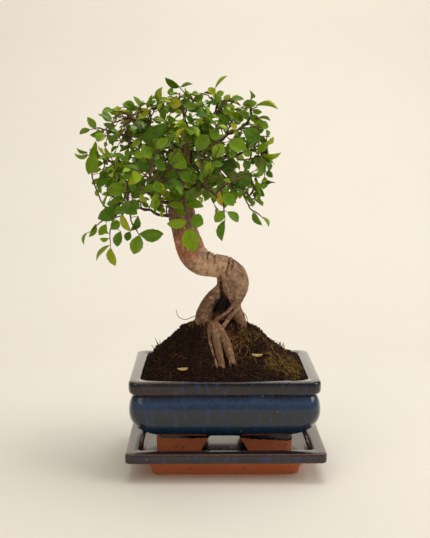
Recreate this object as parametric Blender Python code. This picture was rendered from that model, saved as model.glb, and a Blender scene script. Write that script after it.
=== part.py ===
# A small-leaved elm trained as a bonsai, in a glazed pot with corner feet, on its drip saucer.
# Named lengths are in millimetres. point() and the mesh helpers turn them into metres.
# +Z is up, X runs along the pot's long side, and the origin is the middle of the saucer's base.
import math

import bmesh
import bpy
from mathutils import Matrix, Vector
from mathutils.bvhtree import BVHTree

MM = 0.001
GAP = 0.3  # air between pieces that touch

# Saucer
SAUCER_HALF = (82.5, 62.5)
SAUCER_TOP = 25.0
SAUCER_FLOOR = 16.3
SAUCER_FOOT_INSET = 21.6
SAUCER_FOOT_WIDTH = 7.4
SAUCER_RIB_HALF = 5.0
SAUCER_POCKET_DEPTH = 9.0

# Pot
POT_CENTRE_X = -0.8
POT_HALF = (78.6, 57.6)
POT_TOP = 83.5
POT_UNDERSIDE = 31.9
POT_FLOOR = 38.6
POT_CAVITY_INSET = 10.2
BELLY_RADIUS = 25.2
BELLY_HEIGHT = 57.5
BELLY_SWELL = 0.4  # how far the belly stands out beyond the rim
FOOT_INSET = 21.4
FOOT_WIDTH = 8.7
FRONT_ARCH = (26.0, 41.0)  # width at its crown and at its springing
SIDE_ARCH = (28.0, 40.0)
DRAIN_X = 30.0
DRAIN_RADIUS = 7.0
CORNER_STEPS = 5

# Soil and what lies in it
DRAIN_MESH_SIDE = 26.0
DRAIN_MESH_THICKNESS = 1.0
DRAIN_MESH_CELLS = 4
SOIL_EDGE = 82.3
SOIL_SHOULDER = 4.0  # how far the soil is heaped above its edge, away from the wall
SHOULDER_WIDTH = 10.0
MOUND_HEIGHT = 35.5
MOUND_CENTRE = (-5.5, 8.0)
MOUND_REACH = (14.0, 76.0)  # radius of the crown and radius where the slope ends
MOUND_OVAL = 1.2

# Shoots
LEAF_LENGTH = 14.5
LEAF_WIDTH = 8.4
LEAF_SPACING = 5.8
FIRST_LEAF = 2.4  # from a shoot's base to its first side leaf
LAST_LEAF = 3.6  # from the last side leaves to the end leaf, which they must not touch
WIDEST = 0.5  # where the end leaf is widest, as a share of its length
LEAF_ANGLE = math.radians(52)
LEAF_THICKNESS = 0.8
STEM_HALF = 0.6
SHOOT_ARCH = 0.10  # rise of the middle of a shoot, as a share of its length
LEAF_FOLD = 0.22  # fall of a leaf's outer edge, as a share of its distance from the stem

# The trunk's middle line, from the roots to the top of the leader: x, y, z, radius
TRUNK = [
    (10.6, 1, 124.0, 3.2), (9.8, 0, 132.0, 3.6), (9.2, 0, 139.5, 5.4), (9.4, 0, 147.5, 9.4),
    (8.4, 0, 159.0, 11.8), (1.0, 0, 168.2, 10.4), (-8.4, 0, 170.8, 10.0), (-19.0, 0, 173.4, 10.8),
    (-27.2, 0, 181.0, 11.6), (-32.0, 0, 193.0, 11.2), (-35.6, 0, 208.0, 10.4), (-37.6, 0, 222.0, 9.6),
    (-37.0, 0, 238.0, 7.6), (-34.6, 0, 254.0, 6.0), (-31.5, 0, 268.0, 4.6), (-30.4, 1, 277.0, 3.4),
]
TRUNK_SIDES = 12

# Roots above and just below the soil: x, y, z, radius
ROOTS = {
    "left_leg": [
        (5.0, 2, 152.5, 5.0), (-3.0, 2, 150.0, 4.8), (-9.0, 1, 144.5, 5.6), (-14.2, 1, 137.5, 6.4),
        (-17.6, 1, 130.0, 6.8), (-19.2, 1, 121.0, 6.8), (-19.0, 2, 104.0, 5.6),
    ],
    "right_leg": [
        (9.4, 1, 139, 4.2), (10.8, 1, 133, 3.6), (13.0, 1, 127, 4.4), (14.2, 2, 118, 5.0), (16.0, 3, 102, 4.6),
    ],
    "under_strand": [(-3.4, 1, 164, 2.4), (-4.0, 1, 156, 1.9), (-4.4, 2, 148, 2.2)],
    "upper_strand": [(9.4, -3, 139, 1.8), (1.4, -7, 131.2, 1.4), (-7.6, -7, 125.0, 1.5), (-15.0, -4, 117, 1.8)],
    "lower_strand": [(9.8, -3, 133, 1.9), (4.0, -8, 127.0, 1.5), (-2.2, -10, 118, 1.6), (-4.0, -9, 106, 1.8)],
    "back_root": [(5.0, 6, 150, 6.0), (-0.5, 9, 142, 7.2), (-3.0, 11, 134, 7.8), (-5.0, 12, 104, 7.0)],
    "right_back_root": [(9.0, 5, 143, 4.6), (6.8, 9, 132, 5.2), (5.8, 13, 119, 5.2), (6.0, 16, 102, 4.8)],
    "front_left_finger": [
        (-14.0, -2, 121, 4.0), (-9.6, -8, 120, 3.9), (-7.6, -15, 114.6, 3.8), (-5.6, -23, 105, 3.5),
        (-2.6, -31, 93.5, 2.6), (-1.0, -34, 88.0, 1.8),
    ],
    "front_right_finger": [
        (-9.0, -4, 121, 3.6), (-4.6, -12, 117.0, 4.1), (0.4, -20, 107.6, 4.1), (4.2, -27.5, 96.8, 3.9),
        (5.4, -30, 90.0, 3.0),
    ],
    "thin_front_strand": [
        (-14.0, -5, 119.5, 1.7), (-12.2, -12.5, 115.6, 1.5), (-10.6, -20, 107.8, 1.4), (-7.8, -28, 98.0, 1.3),
        (-4.4, -35, 89.5, 1.2),
    ],
}
ROOT_SIDES = 8

# The main branches. Each starts inside the trunk and ends at its youngest wood: x, y, z
BRANCHES = {
    "low_left": [(-33, 0, 212), (-50, 2, 213.6), (-59, 4, 216), (-71, 6, 219), (-80, 2, 222.6), (-89, -4, 224)],
    "mid_left": [(-35, 0, 225), (-55, -4, 226), (-63, -9, 232), (-75, -14, 241), (-88, -16, 245.5)],
    "far_left": [(-34, 3, 243), (-53, 6, 248.6), (-70, 10, 254), (-87, 10, 258.6), (-102, 6, 260.5)],
    "upper_left": [(-33, 2, 258), (-51, 9, 267), (-65, 14, 270), (-79, 16, 275), (-88, 16, 281), (-99, 16, 284.5)],
    "top_left": [(-32, -1, 266), (-45, -7, 275), (-56, -9, 285), (-66, -9, 291), (-77, -6, 294.5)],
    "top": [(-30.6, 1, 272), (-32, 4, 290), (-36, 6, 302), (-38.5, 6, 311)],
    "top_right": [(-31, 0, 268), (-19, -2, 284), (-10, -3, 297), (-5, -4, 309)],
    "right_high": [(-32, 2, 263), (-8, 8, 274.6), (8, 11, 284), (20, 10, 292), (22, 10, 304)],
    "right": [(-34, 1, 253), (-9, 4, 260), (10, 6, 265), (26, 6, 268.6), (37, 6, 267)],
    "right_low": [(-36, 2, 243), (-14, 7, 242.6), (1, 8, 241), (15.6, 8, 235), (23, 6, 225)],
    "front_right": [(-36, -2, 236), (-25, -24, 241), (-16, -38, 239.5), (-7, -44, 232.6)],
    "front_left": [(-37, -3, 241), (-47, -26, 245), (-54, -42, 247), (-61.6, -52, 248)],
    "back_left": [(-36, 3, 246), (-51, 30, 250), (-64, 50, 255.4)],
    "back_right": [(-36, 3, 249), (-15, 30, 255.3), (-2, 48, 261)],
}
BRANCH_RADII = (2.6, 1.0)  # at the collar and at the end
BRANCH_SIDES = 6

# Leafy shoots: the wood each grows from, how far along that wood (0 to 1), and where its last leaf ends
SHOOTS = [
    ("low_left", 1.0, (-121, -6, 190)), ("low_left", 0.85, (-94, -14, 171)), ("low_left", 0.6, (-78, -8, 182)),
    ("low_left", 0.95, (-113, -10, 268)), ("mid_left", 1.0, (-106, -24, 237)), ("mid_left", 0.6, (-82, -28, 202)),
    ("mid_left", 0.8, (-99, -38, 225)), ("far_left", 1.0, (-130, 6, 265)), ("far_left", 0.7, (-107, -8, 252)),
    ("far_left", 0.6, (-97, 20, 273)), ("upper_left", 1.0, (-117, 16, 286)), ("upper_left", 0.75, (-106, 14, 300)),
    ("top_left", 1.0, (-95, -6, 302)), ("top_left", 0.7, (-76, -18, 308)), ("top", 1.0, (-48, 6, 329)),
    ("top", 0.7, (-19, 4, 318)), ("top", 0.4, (-54, -14, 313)), ("top_right", 1.0, (1, -4, 330)),
    ("top_right", 0.65, (13, -12, 312)), ("top_right", 0.3, (-14, -42, 300)), ("right_high", 1.0, (45, 8, 305)),
    ("right_high", 0.6, (37, 0, 289)), ("right_high", 0.5, (14, 34, 304)), ("right", 1.0, (49, 4, 262)),
    ("right", 0.75, (37, -8, 251)), ("right", 0.5, (14, -30, 282)), ("right_low", 1.0, (38, 4, 204)),
    ("right_low", 0.7, (32, -14, 230)), ("right_low", 0.5, (10, -8, 222)), ("front_right", 1.0, (-4, -46, 198)),
    ("front_right", 0.6, (2, -66, 248)), ("front_left", 1.0, (-77, -64, 257)), ("front_left", 0.6, (-54, -62, 229)),
    ("trunk", 0.72, (-28, -31, 187)), ("trunk", 0.97, (-30, -62, 290)), ("trunk", 0.93, (-25, 58, 296)),
    ("back_left", 1.0, (-88, 67, 262)), ("back_right", 1.0, (21, 62, 268)),
]
SHOOT_ROLLS = [math.radians(angle) for angle in (0, 14, -14, 28, -28, 42, -42, 58, -58, 75, -75, 90)]
SHOOT_LENGTHS = (1.0, 0.9, 0.8, 0.7, 0.6)

# Wood chips on the soil: x, y, turn in degrees
CHIPS = {"front": (-35.0, -39.0, 20), "right": (26.0, -27.0, -4)}
CHIP_SIZE = (9.0, 3.6, 1.4)

COLOURS = {
    "glaze": ((0.012, 0.022, 0.060), 0.12),
    "mesh": ((0.02, 0.02, 0.02), 0.5),
    "soil": ((0.045, 0.024, 0.014), 0.95),
    "bark": ((0.21, 0.13, 0.085), 0.8),
    "twig": ((0.13, 0.065, 0.035), 0.7),
    "leaf": ((0.07, 0.19, 0.015), 0.38),
    "chip": ((0.55, 0.42, 0.18), 0.8),
}


def clear_scene():
    for old in list(bpy.data.objects):
        bpy.data.objects.remove(old, do_unlink=True)


def point(x, y, z):
    return Vector((x, y, z)) * MM


def add_object(name, mesh_data, finish):
    mesh = bpy.data.meshes.new(name)
    bmesh.ops.recalc_face_normals(mesh_data, faces=mesh_data.faces)
    mesh_data.to_mesh(mesh)
    mesh_data.free()
    mesh.shade_smooth()
    mesh.set_sharp_from_angle(angle=math.radians(35))
    colour, roughness = COLOURS[finish]
    material = bpy.data.materials.new(name)
    material.use_nodes = True
    shader = material.node_tree.nodes["Principled BSDF"]
    shader.inputs["Base Color"].default_value = (*colour, 1)
    shader.inputs["Roughness"].default_value = roughness
    shader.inputs["Metallic"].default_value = 0.0
    mesh.materials.append(material)
    made = bpy.data.objects.new(name, mesh)
    bpy.context.scene.collection.objects.link(made)
    return made


def helper_collection(name, pieces):
    """Puts cutters or joined tubes into one collection that no render shows."""
    group = bpy.data.collections.new(name)
    bpy.context.scene.collection.children.link(group)
    for piece in pieces:
        bpy.context.scene.collection.objects.unlink(piece)
        group.objects.link(piece)
        piece.hide_render = True
        piece.display_type = "WIRE"
    return group


def combine(target, operation, group):
    change = target.modifiers.new(group.name, "BOOLEAN")
    change.operation = operation
    change.operand_type = "COLLECTION"
    change.collection = group
    change.solver = "EXACT"


def loft(mesh_data, rings, closed=False):
    """Extrudes a face through rings of equal count. A closed loft returns to its first ring and has no caps."""
    first = [mesh_data.verts.new(place) for place in rings[0]]
    cap = mesh_data.faces.new(first)
    for ring in rings[1:]:
        cap = bmesh.ops.extrude_discrete_faces(mesh_data, faces=[cap])["faces"][0]
        for corner, place in zip(cap.verts, ring):
            corner.co = place
    if not closed:
        mesh_data.faces.new(list(reversed(first)))
        return
    last = list(cap.verts)
    mesh_data.faces.remove(cap)
    bmesh.ops.weld_verts(mesh_data, targetmap=dict(zip(last, first)))


def rounded_rectangle(half_x, half_y, radius, z, steps=CORNER_STEPS):
    """A ring of points with quarter-circle corners, anticlockwise from the right-hand end."""
    ring = []
    for quarter in range(4):
        side_x = 1 if quarter in (0, 3) else -1
        side_y = 1 if quarter < 2 else -1
        for step in range(steps + 1):
            angle = math.pi / 2 * (quarter + step / steps)
            x = side_x * (half_x - radius) + radius * math.cos(angle)
            y = side_y * (half_y - radius) + radius * math.sin(angle)
            ring.append(point(x, y, z))
    return ring


def profile_rings(half, profile):
    """Rings for a rectangular vessel from (inset, z, corner radius) entries."""
    return [rounded_rectangle(half[0] - inset, half[1] - inset, radius, z) for inset, z, radius in profile]


def box_between(low, high, taper_x=0.0, taper_y=0.0):
    """A block whose top is narrower than its base by the tapers, on every side."""
    middle_x = (low[0] + high[0]) / 2
    middle_y = (low[1] + high[1]) / 2
    rings = []
    for z, cut_x, cut_y in ((low[2], 0, 0), (high[2], taper_x, taper_y)):
        half_x = (high[0] - low[0]) / 2 - cut_x
        half_y = (high[1] - low[1]) / 2 - cut_y
        corners = ((half_x, half_y), (-half_x, half_y), (-half_x, -half_y), (half_x, -half_y))
        rings.append([point(middle_x + x, middle_y + y, z) for x, y in corners])
    mesh_data = bmesh.new()
    loft(mesh_data, rings)
    return mesh_data


def smooth_path(controls, step):
    """Catmull-Rom points about step apart through the controls, which may carry a radius as a fourth value."""
    padded = [controls[0], *controls, controls[-1]]
    path = []
    for index in range(1, len(padded) - 2):
        before, start, end, after = padded[index - 1:index + 3]
        count = max(1, round(math.dist(start[:3], end[:3]) / step))
        for part in range(count):
            t = part / count
            path.append([
                0.5 * (2 * b + (c - a) * t + (2 * a - 5 * b + 4 * c - d) * t**2 + (3 * b - a - 3 * c + d) * t**3)
                for a, b, c, d in zip(before, start, end, after)
            ])
    path.append(list(controls[-1]))
    return path


def tube(path, radii, sides):
    """A closed tube whose rings stand square to the path."""
    middles = [Vector(place[:3]) for place in path]
    across = Vector((0, 1, 0))
    rings = []
    for index, middle in enumerate(middles):
        ahead = middles[min(index + 1, len(middles) - 1)] - middles[max(index - 1, 0)]
        ahead.normalize()
        across = (across - ahead * across.dot(ahead)).normalized()
        other = ahead.cross(across)
        turns = [2 * math.pi * side / sides for side in range(sides)]
        rings.append([(middle + (across * math.cos(t) + other * math.sin(t)) * radii[index]) * MM for t in turns])
    mesh_data = bmesh.new()
    loft(mesh_data, rings)
    return mesh_data


def ease(value, low, high):
    share = min(max((value - low) / (high - low), 0.0), 1.0)
    return share * share * (3 - 2 * share)


# Saucer: a shallow glazed tray on an unglazed foot

def make_saucer():
    edge = SAUCER_TOP
    floor = SAUCER_FLOOR
    profile = [
        (SAUCER_FOOT_INSET, 0.0, 5), (20.4, 5.0, 5), (17.8, 10.5, 5), (15.2, 14.0, 5), (11.5, 16.2, 5),
        (5.0, 17.7, 4), (1.0, 18.5, 4), (0.0, 19.6, 4), (0.0, edge - 1.5, 4), (0.5, edge - 0.5, 4),
        (1.6, edge, 3.5), (10.2, edge, 3.5), (10.9, edge - 0.6, 3.5), (11.5, floor + 1.6, 4), (12.3, floor + 0.4, 4),
        (14.5, floor, 4),
    ]
    mesh_data = bmesh.new()
    loft(mesh_data, profile_rings(SAUCER_HALF, profile))
    saucer = add_object("saucer", mesh_data, "glaze")
    combine(saucer, "DIFFERENCE", helper_collection("saucer_recesses", saucer_recesses()))


def saucer_recesses():
    """Two pockets under the base, and the slight lift of its four corners."""
    reach_x = SAUCER_HALF[0] - SAUCER_FOOT_INSET
    reach_y = SAUCER_HALF[1] - SAUCER_FOOT_INSET
    blocks = []
    for side in (-1, 1):
        ends = sorted((side * SAUCER_RIB_HALF, side * (reach_x - SAUCER_FOOT_WIDTH)))
        half_y = reach_y - SAUCER_FOOT_WIDTH
        blocks.append(box_between((ends[0], -half_y, -2), (ends[1], half_y, SAUCER_POCKET_DEPTH), 1.0, 1.0))
        for front in (-1, 1):
            corner = (side * reach_x, front * reach_y)
            low = (min(corner[0], corner[0] - side * 10) - 1.5, min(corner[1], corner[1] - front * 9) - 1.5, -2)
            high = (max(corner[0], corner[0] - side * 10) + 1.5, max(corner[1], corner[1] - front * 9) + 1.5, 0.8)
            blocks.append(box_between(low, high))
    return [add_object(f"saucer_cutter_{index}", block, "glaze") for index, block in enumerate(blocks)]


# Pot: a bellied rectangular pot on an arched foot, with two drain holes

def belly_arc(steps=6):
    """The lower half of the belly, from just outside the foot round to its widest line."""
    start = math.asin(1 - (FOOT_INSET - 1.0 + BELLY_SWELL) / BELLY_RADIUS)
    arc = []
    for step in range(steps + 1):
        angle = start + (math.pi / 2 - start) * step / steps
        inset = BELLY_RADIUS * (1 - math.sin(angle)) - BELLY_SWELL
        corner = 13 + 0.3 * inset
        arc.append((inset, BELLY_HEIGHT - BELLY_RADIUS * math.cos(angle), corner))
    return arc


def cavity_profile():
    """The inside of the pot from its rim down to its floor, as (inset, z, corner radius)."""
    inset = POT_CAVITY_INSET
    return [
        (inset, POT_TOP - 1.2, 6.5), (inset + 0.1, 72.0, 7), (inset + 0.6, 58.0, 9), (13.0, 49.0, 11),
        (17.5, 42.8, 12), (22.5, POT_FLOOR + 0.8, 12), (28.0, POT_FLOOR, 12),
    ]


def make_pot():
    outside = [(26.0, POT_UNDERSIDE, 17), (22.2, POT_UNDERSIDE + 0.2, 19), *belly_arc()]
    rim = [
        (-0.2, 61.5, 13), (0.6, 65.5, 12), (2.0, 69.0, 10), (3.5, 70.8, 8), (3.5, 71.9, 8), (1.7, 72.6, 8),
        (0.5, 74.0, 8), (0.0, 76.0, 8), (0.0, POT_TOP - 1.8, 8), (0.5, POT_TOP - 0.5, 8), (1.6, POT_TOP, 7),
        (POT_CAVITY_INSET - 1.4, POT_TOP, 6), (POT_CAVITY_INSET - 0.4, POT_TOP - 0.4, 6),
    ]
    mesh_data = bmesh.new()
    loft(mesh_data, profile_rings(POT_HALF, outside + rim + cavity_profile()))
    pot = add_object("pot", mesh_data, "glaze")
    foot = add_object("foot_ring", foot_ring(), "glaze")
    cutters = [add_object(f"pot_cutter_{index}", block, "glaze") for index, block in enumerate(pot_cutters())]
    combine(pot, "UNION", helper_collection("pot_foot", [foot]))
    combine(pot, "DIFFERENCE", helper_collection("pot_openings", cutters))
    for piece in (pot, foot, *cutters):
        piece.location.x = POT_CENTRE_X * MM


def foot_ring():
    bottom = SAUCER_FLOOR + GAP
    inner = FOOT_INSET + FOOT_WIDTH
    profile = [
        (FOOT_INSET + 1.6, bottom, 11), (FOOT_INSET + 0.6, bottom + 1.0, 12), (FOOT_INSET, POT_UNDERSIDE + 1.5, 12),
        (inner, POT_UNDERSIDE + 1.5, 6), (inner, bottom, 6),
    ]
    mesh_data = bmesh.new()
    loft(mesh_data, profile_rings(POT_HALF, profile), closed=True)
    return mesh_data


def pot_cutters():
    below = SAUCER_FLOOR - 2
    front = FRONT_ARCH[1] / 2
    side = SIDE_ARCH[1] / 2
    yield box_between((-front, -48, below), (front, 48, POT_UNDERSIDE), (FRONT_ARCH[1] - FRONT_ARCH[0]) / 2, 0)
    yield box_between((-68, -side, below), (68, side, POT_UNDERSIDE), 0, (SIDE_ARCH[1] - SIDE_ARCH[0]) / 2)
    for x in (-DRAIN_X, DRAIN_X):
        hole = bmesh.new()
        middle_z = (POT_UNDERSIDE + POT_FLOOR) / 2
        place = Matrix.Translation(point(x, 0, middle_z))
        bmesh.ops.create_cone(
            hole, cap_ends=True, segments=20, radius1=DRAIN_RADIUS * MM, radius2=DRAIN_RADIUS * MM,
            depth=20 * MM, matrix=place,
        )
        yield hole


# Drain meshes: plastic grids over the drain holes, under the soil

def make_drain_mesh(name, x):
    side = DRAIN_MESH_SIDE
    cell = side / (2 * DRAIN_MESH_CELLS + 1)
    grid = bmesh.new()
    squares = 2 * DRAIN_MESH_CELLS + 1
    bmesh.ops.create_grid(grid, x_segments=squares, y_segments=squares, size=side / 2 * MM)
    openings = []
    for face in grid.faces:
        middle = face.calc_center_median() / MM
        column = math.floor((middle.x + side / 2) / cell)
        row = math.floor((middle.y + side / 2) / cell)
        if column % 2 and row % 2:
            openings.append(face)
    bmesh.ops.delete(grid, geom=openings, context="FACES")
    bmesh.ops.solidify(grid, geom=grid.faces, thickness=DRAIN_MESH_THICKNESS * MM)
    lowest = min(corner.co.z for corner in grid.verts)
    made = add_object(name, grid, "mesh")
    made.location = point(POT_CENTRE_X + x, 0, POT_FLOOR + GAP)
    made.location.z -= lowest


# Soil: fills the cavity and rises in a mound round the roots

def soil_height(x, y):
    half_x = POT_HALF[0] - POT_CAVITY_INSET
    half_y = POT_HALF[1] - POT_CAVITY_INSET
    from_wall = min(half_x - abs(x - POT_CENTRE_X), half_y - abs(y))
    heaped = ease(from_wall, 0, SHOULDER_WIDTH)
    reach = math.hypot(x - MOUND_CENTRE[0], (y - MOUND_CENTRE[1]) * MOUND_OVAL)
    mound = MOUND_HEIGHT * (1 - ease(reach, *MOUND_REACH))
    return SOIL_EDGE + (SOIL_SHOULDER + mound) * heaped


def soil_surface_ring(share):
    """One ring of the top, from the wall (share 1) to the mound's crown (share 0)."""
    inset = POT_CAVITY_INSET + GAP
    rim = rounded_rectangle(POT_HALF[0] - inset, POT_HALF[1] - inset, 6.5, 0)
    ring = []
    for corner in rim:
        x = MOUND_CENTRE[0] + (corner.x / MM + POT_CENTRE_X - MOUND_CENTRE[0]) * share
        y = MOUND_CENTRE[1] + (corner.y / MM - MOUND_CENTRE[1]) * share
        ring.append(point(x, y, soil_height(x, y)))
    return ring


def make_soil(root_clearance):
    rings = []
    for inset, z, radius in reversed(cavity_profile()):
        lift = GAP if z < POT_FLOOR + 5 else 0
        ring = rounded_rectangle(POT_HALF[0] - inset - GAP, POT_HALF[1] - inset - GAP, radius, z + lift)
        rings.append([corner + point(POT_CENTRE_X, 0, 0) for corner in ring])
    rings[-1] = [Vector((corner.x, corner.y, (SOIL_EDGE - 1.5) * MM)) for corner in rings[-1]]
    rings += [soil_surface_ring(share) for share in (1, 0.93, 0.85, 0.75, 0.64, 0.53, 0.42, 0.31, 0.2, 0.09)]
    mesh_data = bmesh.new()
    loft(mesh_data, rings)
    soil = add_object("soil", mesh_data, "soil")
    half = DRAIN_MESH_SIDE / 2 + GAP
    pockets = []
    for x in (-DRAIN_X, DRAIN_X):
        low = (POT_CENTRE_X + x - half, -half, POT_FLOOR - 2)
        high = (POT_CENTRE_X + x + half, half, POT_FLOOR + DRAIN_MESH_THICKNESS + 2 * GAP)
        pockets.append(add_object(f"soil_pocket_{x:.0f}", box_between(low, high), "soil"))
    combine(soil, "DIFFERENCE", root_clearance)
    combine(soil, "DIFFERENCE", helper_collection("mesh_pockets", pockets))


# Tree: the trunk and its surface roots are one piece, and each main branch and leafy shoot is its own

def root_tubes(prefix, extra):
    tubes = []
    for name, controls in ROOTS.items():
        path = smooth_path(controls, 5.0)
        grown = [place[3] + extra for place in path]
        tubes.append(add_object(f"{prefix}_{name}", tube(path, grown, ROOT_SIDES), "bark"))
    return tubes


def trunk_tube(name, extra):
    path = smooth_path(TRUNK, 5.5)
    return add_object(name, tube(path, [place[3] + extra for place in path], TRUNK_SIDES), "bark")


def make_trunk():
    trunk = trunk_tube("trunk", 0)
    combine(trunk, "UNION", helper_collection("roots", root_tubes("root", 0)))
    return trunk


def branch_path(name):
    return smooth_path([(*place, 0) for place in BRANCHES[name]], 7.0)


def make_branch(name, trunk_clearance):
    path = branch_path(name)
    last = len(path) - 1
    thick, thin = BRANCH_RADII
    radii = [thick + (thin - thick) * math.sqrt(index / last) for index in range(last + 1)]
    branch = add_object(f"branch_{name}", tube(path, radii, BRANCH_SIDES), "twig")
    combine(branch, "DIFFERENCE", trunk_clearance)
    return branch


def wood_at(wood, share):
    """Where a shoot leaves its wood: the place, the wood's direction there and its radius, in millimetres."""
    if wood == "trunk":
        path = smooth_path(TRUNK, 5.5)
        radii = [place[3] for place in path]
    else:
        path = branch_path(wood)
        thick, thin = BRANCH_RADII
        radii = [thick + (thin - thick) * math.sqrt(index / (len(path) - 1)) for index in range(len(path))]
    along = share * (len(path) - 1)
    index = min(int(along), len(path) - 2)
    start = Vector(path[index][:3])
    end = Vector(path[index + 1][:3])
    return start.lerp(end, along - index), (end - start).normalized(), radii[round(along)]


def leaf_outline(base_u, side, length, turn):
    """Five corners of one leaf beside the stem, as (along, across) pairs from its lower edge to its upper one."""
    along = Vector((math.cos(turn), side * math.sin(turn)))
    across = Vector((math.sin(turn), -side * math.cos(turn)))
    foot = Vector((base_u, side * STEM_HALF))
    half = LEAF_WIDTH / 2 * length / LEAF_LENGTH
    corners = [
        foot - across * -0.5, foot + along * length * 0.42 + across * half,
        foot + along * length, foot + along * length * 0.42 - across * half, foot - across * 0.5,
    ]
    corners[0].y = side * STEM_HALF
    corners[-1].y = side * STEM_HALF
    return corners if corners[0].x < corners[-1].x else list(reversed(corners))


def shoot_outline(length):
    """The whole shoot laid flat: up its right side, round the end leaf and back down its left side."""
    end_leaf = min(LEAF_LENGTH, length * 0.6)
    neck = length - end_leaf
    count = max(2, round(neck / LEAF_SPACING))
    sides = {1: [], -1: []}
    for index in range(count):
        side = 1 if index % 2 else -1
        base = FIRST_LEAF + (neck - FIRST_LEAF - LAST_LEAF) * index / (count - 1)
        size = end_leaf * (0.8 + 0.2 * math.sin(math.pi * (index + 1) / (count + 1)))
        sides[side] += leaf_outline(base, side, size, LEAF_ANGLE)
    half = LEAF_WIDTH / 2 * end_leaf / LEAF_LENGTH
    end = [
        Vector((neck, -STEM_HALF)), Vector((neck + end_leaf * WIDEST, -half)), Vector((length, 0)),
        Vector((neck + end_leaf * WIDEST, half)), Vector((neck, STEM_HALF)),
    ]
    start = [Vector((0, -STEM_HALF))]
    return start + sides[-1] + end + list(reversed(sides[1])) + [Vector((0, STEM_HALF))]


def shoot_mesh(base, tip, roll, swell=0.0):
    """An arched spray of leaves from base to tip. A swollen copy is used to keep neighbours apart."""
    ahead = tip - base
    length = ahead.length
    ahead.normalize()
    light = Vector((0, -0.5 if tip.y < 15 else 0.5, 0.8))
    facing = (light - ahead * light.dot(ahead)).normalized()
    facing.rotate(Matrix.Rotation(roll, 3, ahead))
    across = facing.cross(ahead)
    mesh_data = bmesh.new()
    flat = [mesh_data.verts.new((corner.x, corner.y, 0)) for corner in shoot_outline(length)]
    sheet = mesh_data.faces.new(flat)
    lifted = bmesh.ops.extrude_face_region(mesh_data, geom=[sheet])["geom"]
    for item in lifted:
        if isinstance(item, bmesh.types.BMVert):
            item.co.z = LEAF_THICKNESS
    bmesh.ops.triangulate(mesh_data, faces=mesh_data.faces)
    for corner in mesh_data.verts:
        u, v, w = corner.co
        share = min(max(u / length, 0), 1)
        rise = SHOOT_ARCH * length * 4 * share * (1 - share) - LEAF_FOLD * abs(v)
        corner.co = (base + ahead * u + across * v + facing * (w + rise)) * MM
    bmesh.ops.recalc_face_normals(mesh_data, faces=mesh_data.faces)
    if swell:
        mesh_data.normal_update()
        for corner, outwards in [(corner, corner.normal.copy()) for corner in mesh_data.verts]:
            corner.co += outwards * swell * MM
    return mesh_data


def shoot_base(wood, share, tip):
    place, direction, radius = wood_at(wood, share)
    if share == 1.0:
        return place + direction * (2 * GAP)
    outwards = tip - place
    outwards -= direction * outwards.dot(direction)
    return place + outwards.normalized() * (radius + 2 * GAP)


def make_shoot(name, wood, share, tip, obstacles):
    """Rolls the shoot about its own line, and shortens it if it must, until it stands clear of what is there."""
    base = shoot_base(wood, share, tip)
    for scale in SHOOT_LENGTHS:
        for roll in SHOOT_ROLLS:
            end = base + (tip - base) * scale
            swollen = shoot_mesh(base, end, roll, swell=1.2 * GAP)
            room = BVHTree.FromBMesh(swollen)
            swollen.free()
            if not any(room.overlap(other) for other in obstacles):
                made = shoot_mesh(base, end, roll)
                obstacles.append(BVHTree.FromBMesh(made))
                return add_object(name, made, "leaf")
    raise ValueError(f"{name} has no clear place")


def make_tree():
    clearance = helper_collection("root_clearance", [trunk_tube("trunk_room", GAP), *root_tubes("root_room", GAP)])
    trunk_room = helper_collection("branch_clearance", [trunk_tube("collar_room", GAP)])
    wood = [make_trunk()] + [make_branch(name, trunk_room) for name in BRANCHES]
    bpy.context.view_layer.update()
    graph = bpy.context.evaluated_depsgraph_get()
    obstacles = [BVHTree.FromObject(piece, graph) for piece in wood]
    count = {}
    for wood_name, share, tip in SHOOTS:
        count[wood_name] = count.get(wood_name, 0) + 1
        make_shoot(f"shoot_{wood_name}_{count[wood_name]}", wood_name, share, Vector(tip), obstacles)
    return clearance


# Wood chips lying on the soil

def make_chip(name, x, y, turn):
    length, width, thickness = CHIP_SIZE
    rings = []
    for share in (-1, -0.5, 0, 0.5, 1):
        half_y = width / 2 * math.cos(share * 1.1)
        bow = thickness * 0.5 * share * share
        ring = [(half_y, 0), (half_y * 0.4, thickness), (-half_y * 0.6, thickness), (-half_y, 0)]
        rings.append([point(share * length / 2, across, bow + up) for across, up in ring])
    mesh_data = bmesh.new()
    loft(mesh_data, rings)
    chip = add_object(f"bark_chip_{name}", mesh_data, "chip")
    slope_x = soil_height(x + 2, y) - soil_height(x - 2, y)
    slope_y = soil_height(x, y + 2) - soil_height(x, y - 2)
    lie = Vector((-slope_x, -slope_y, 4)).normalized()
    turned = Matrix.Rotation(math.radians(turn), 4, "Z")
    lying = Vector((0, 0, 1)).rotation_difference(lie).to_matrix().to_4x4()
    lift = lie * (2.5 * GAP)
    chip.matrix_world = Matrix.Translation(point(x + lift.x, y + lift.y, soil_height(x, y) + lift.z)) @ lying @ turned


clear_scene()
make_saucer()
make_pot()
make_drain_mesh("drain_mesh_left", -DRAIN_X)
make_drain_mesh("drain_mesh_right", DRAIN_X)
make_soil(make_tree())
for chip_name, place in CHIPS.items():
    make_chip(chip_name, *place)
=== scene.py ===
import math
import random

import bmesh
import bpy
from mathutils import Matrix, Vector, noise
from mathutils.kdtree import KDTree


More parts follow.
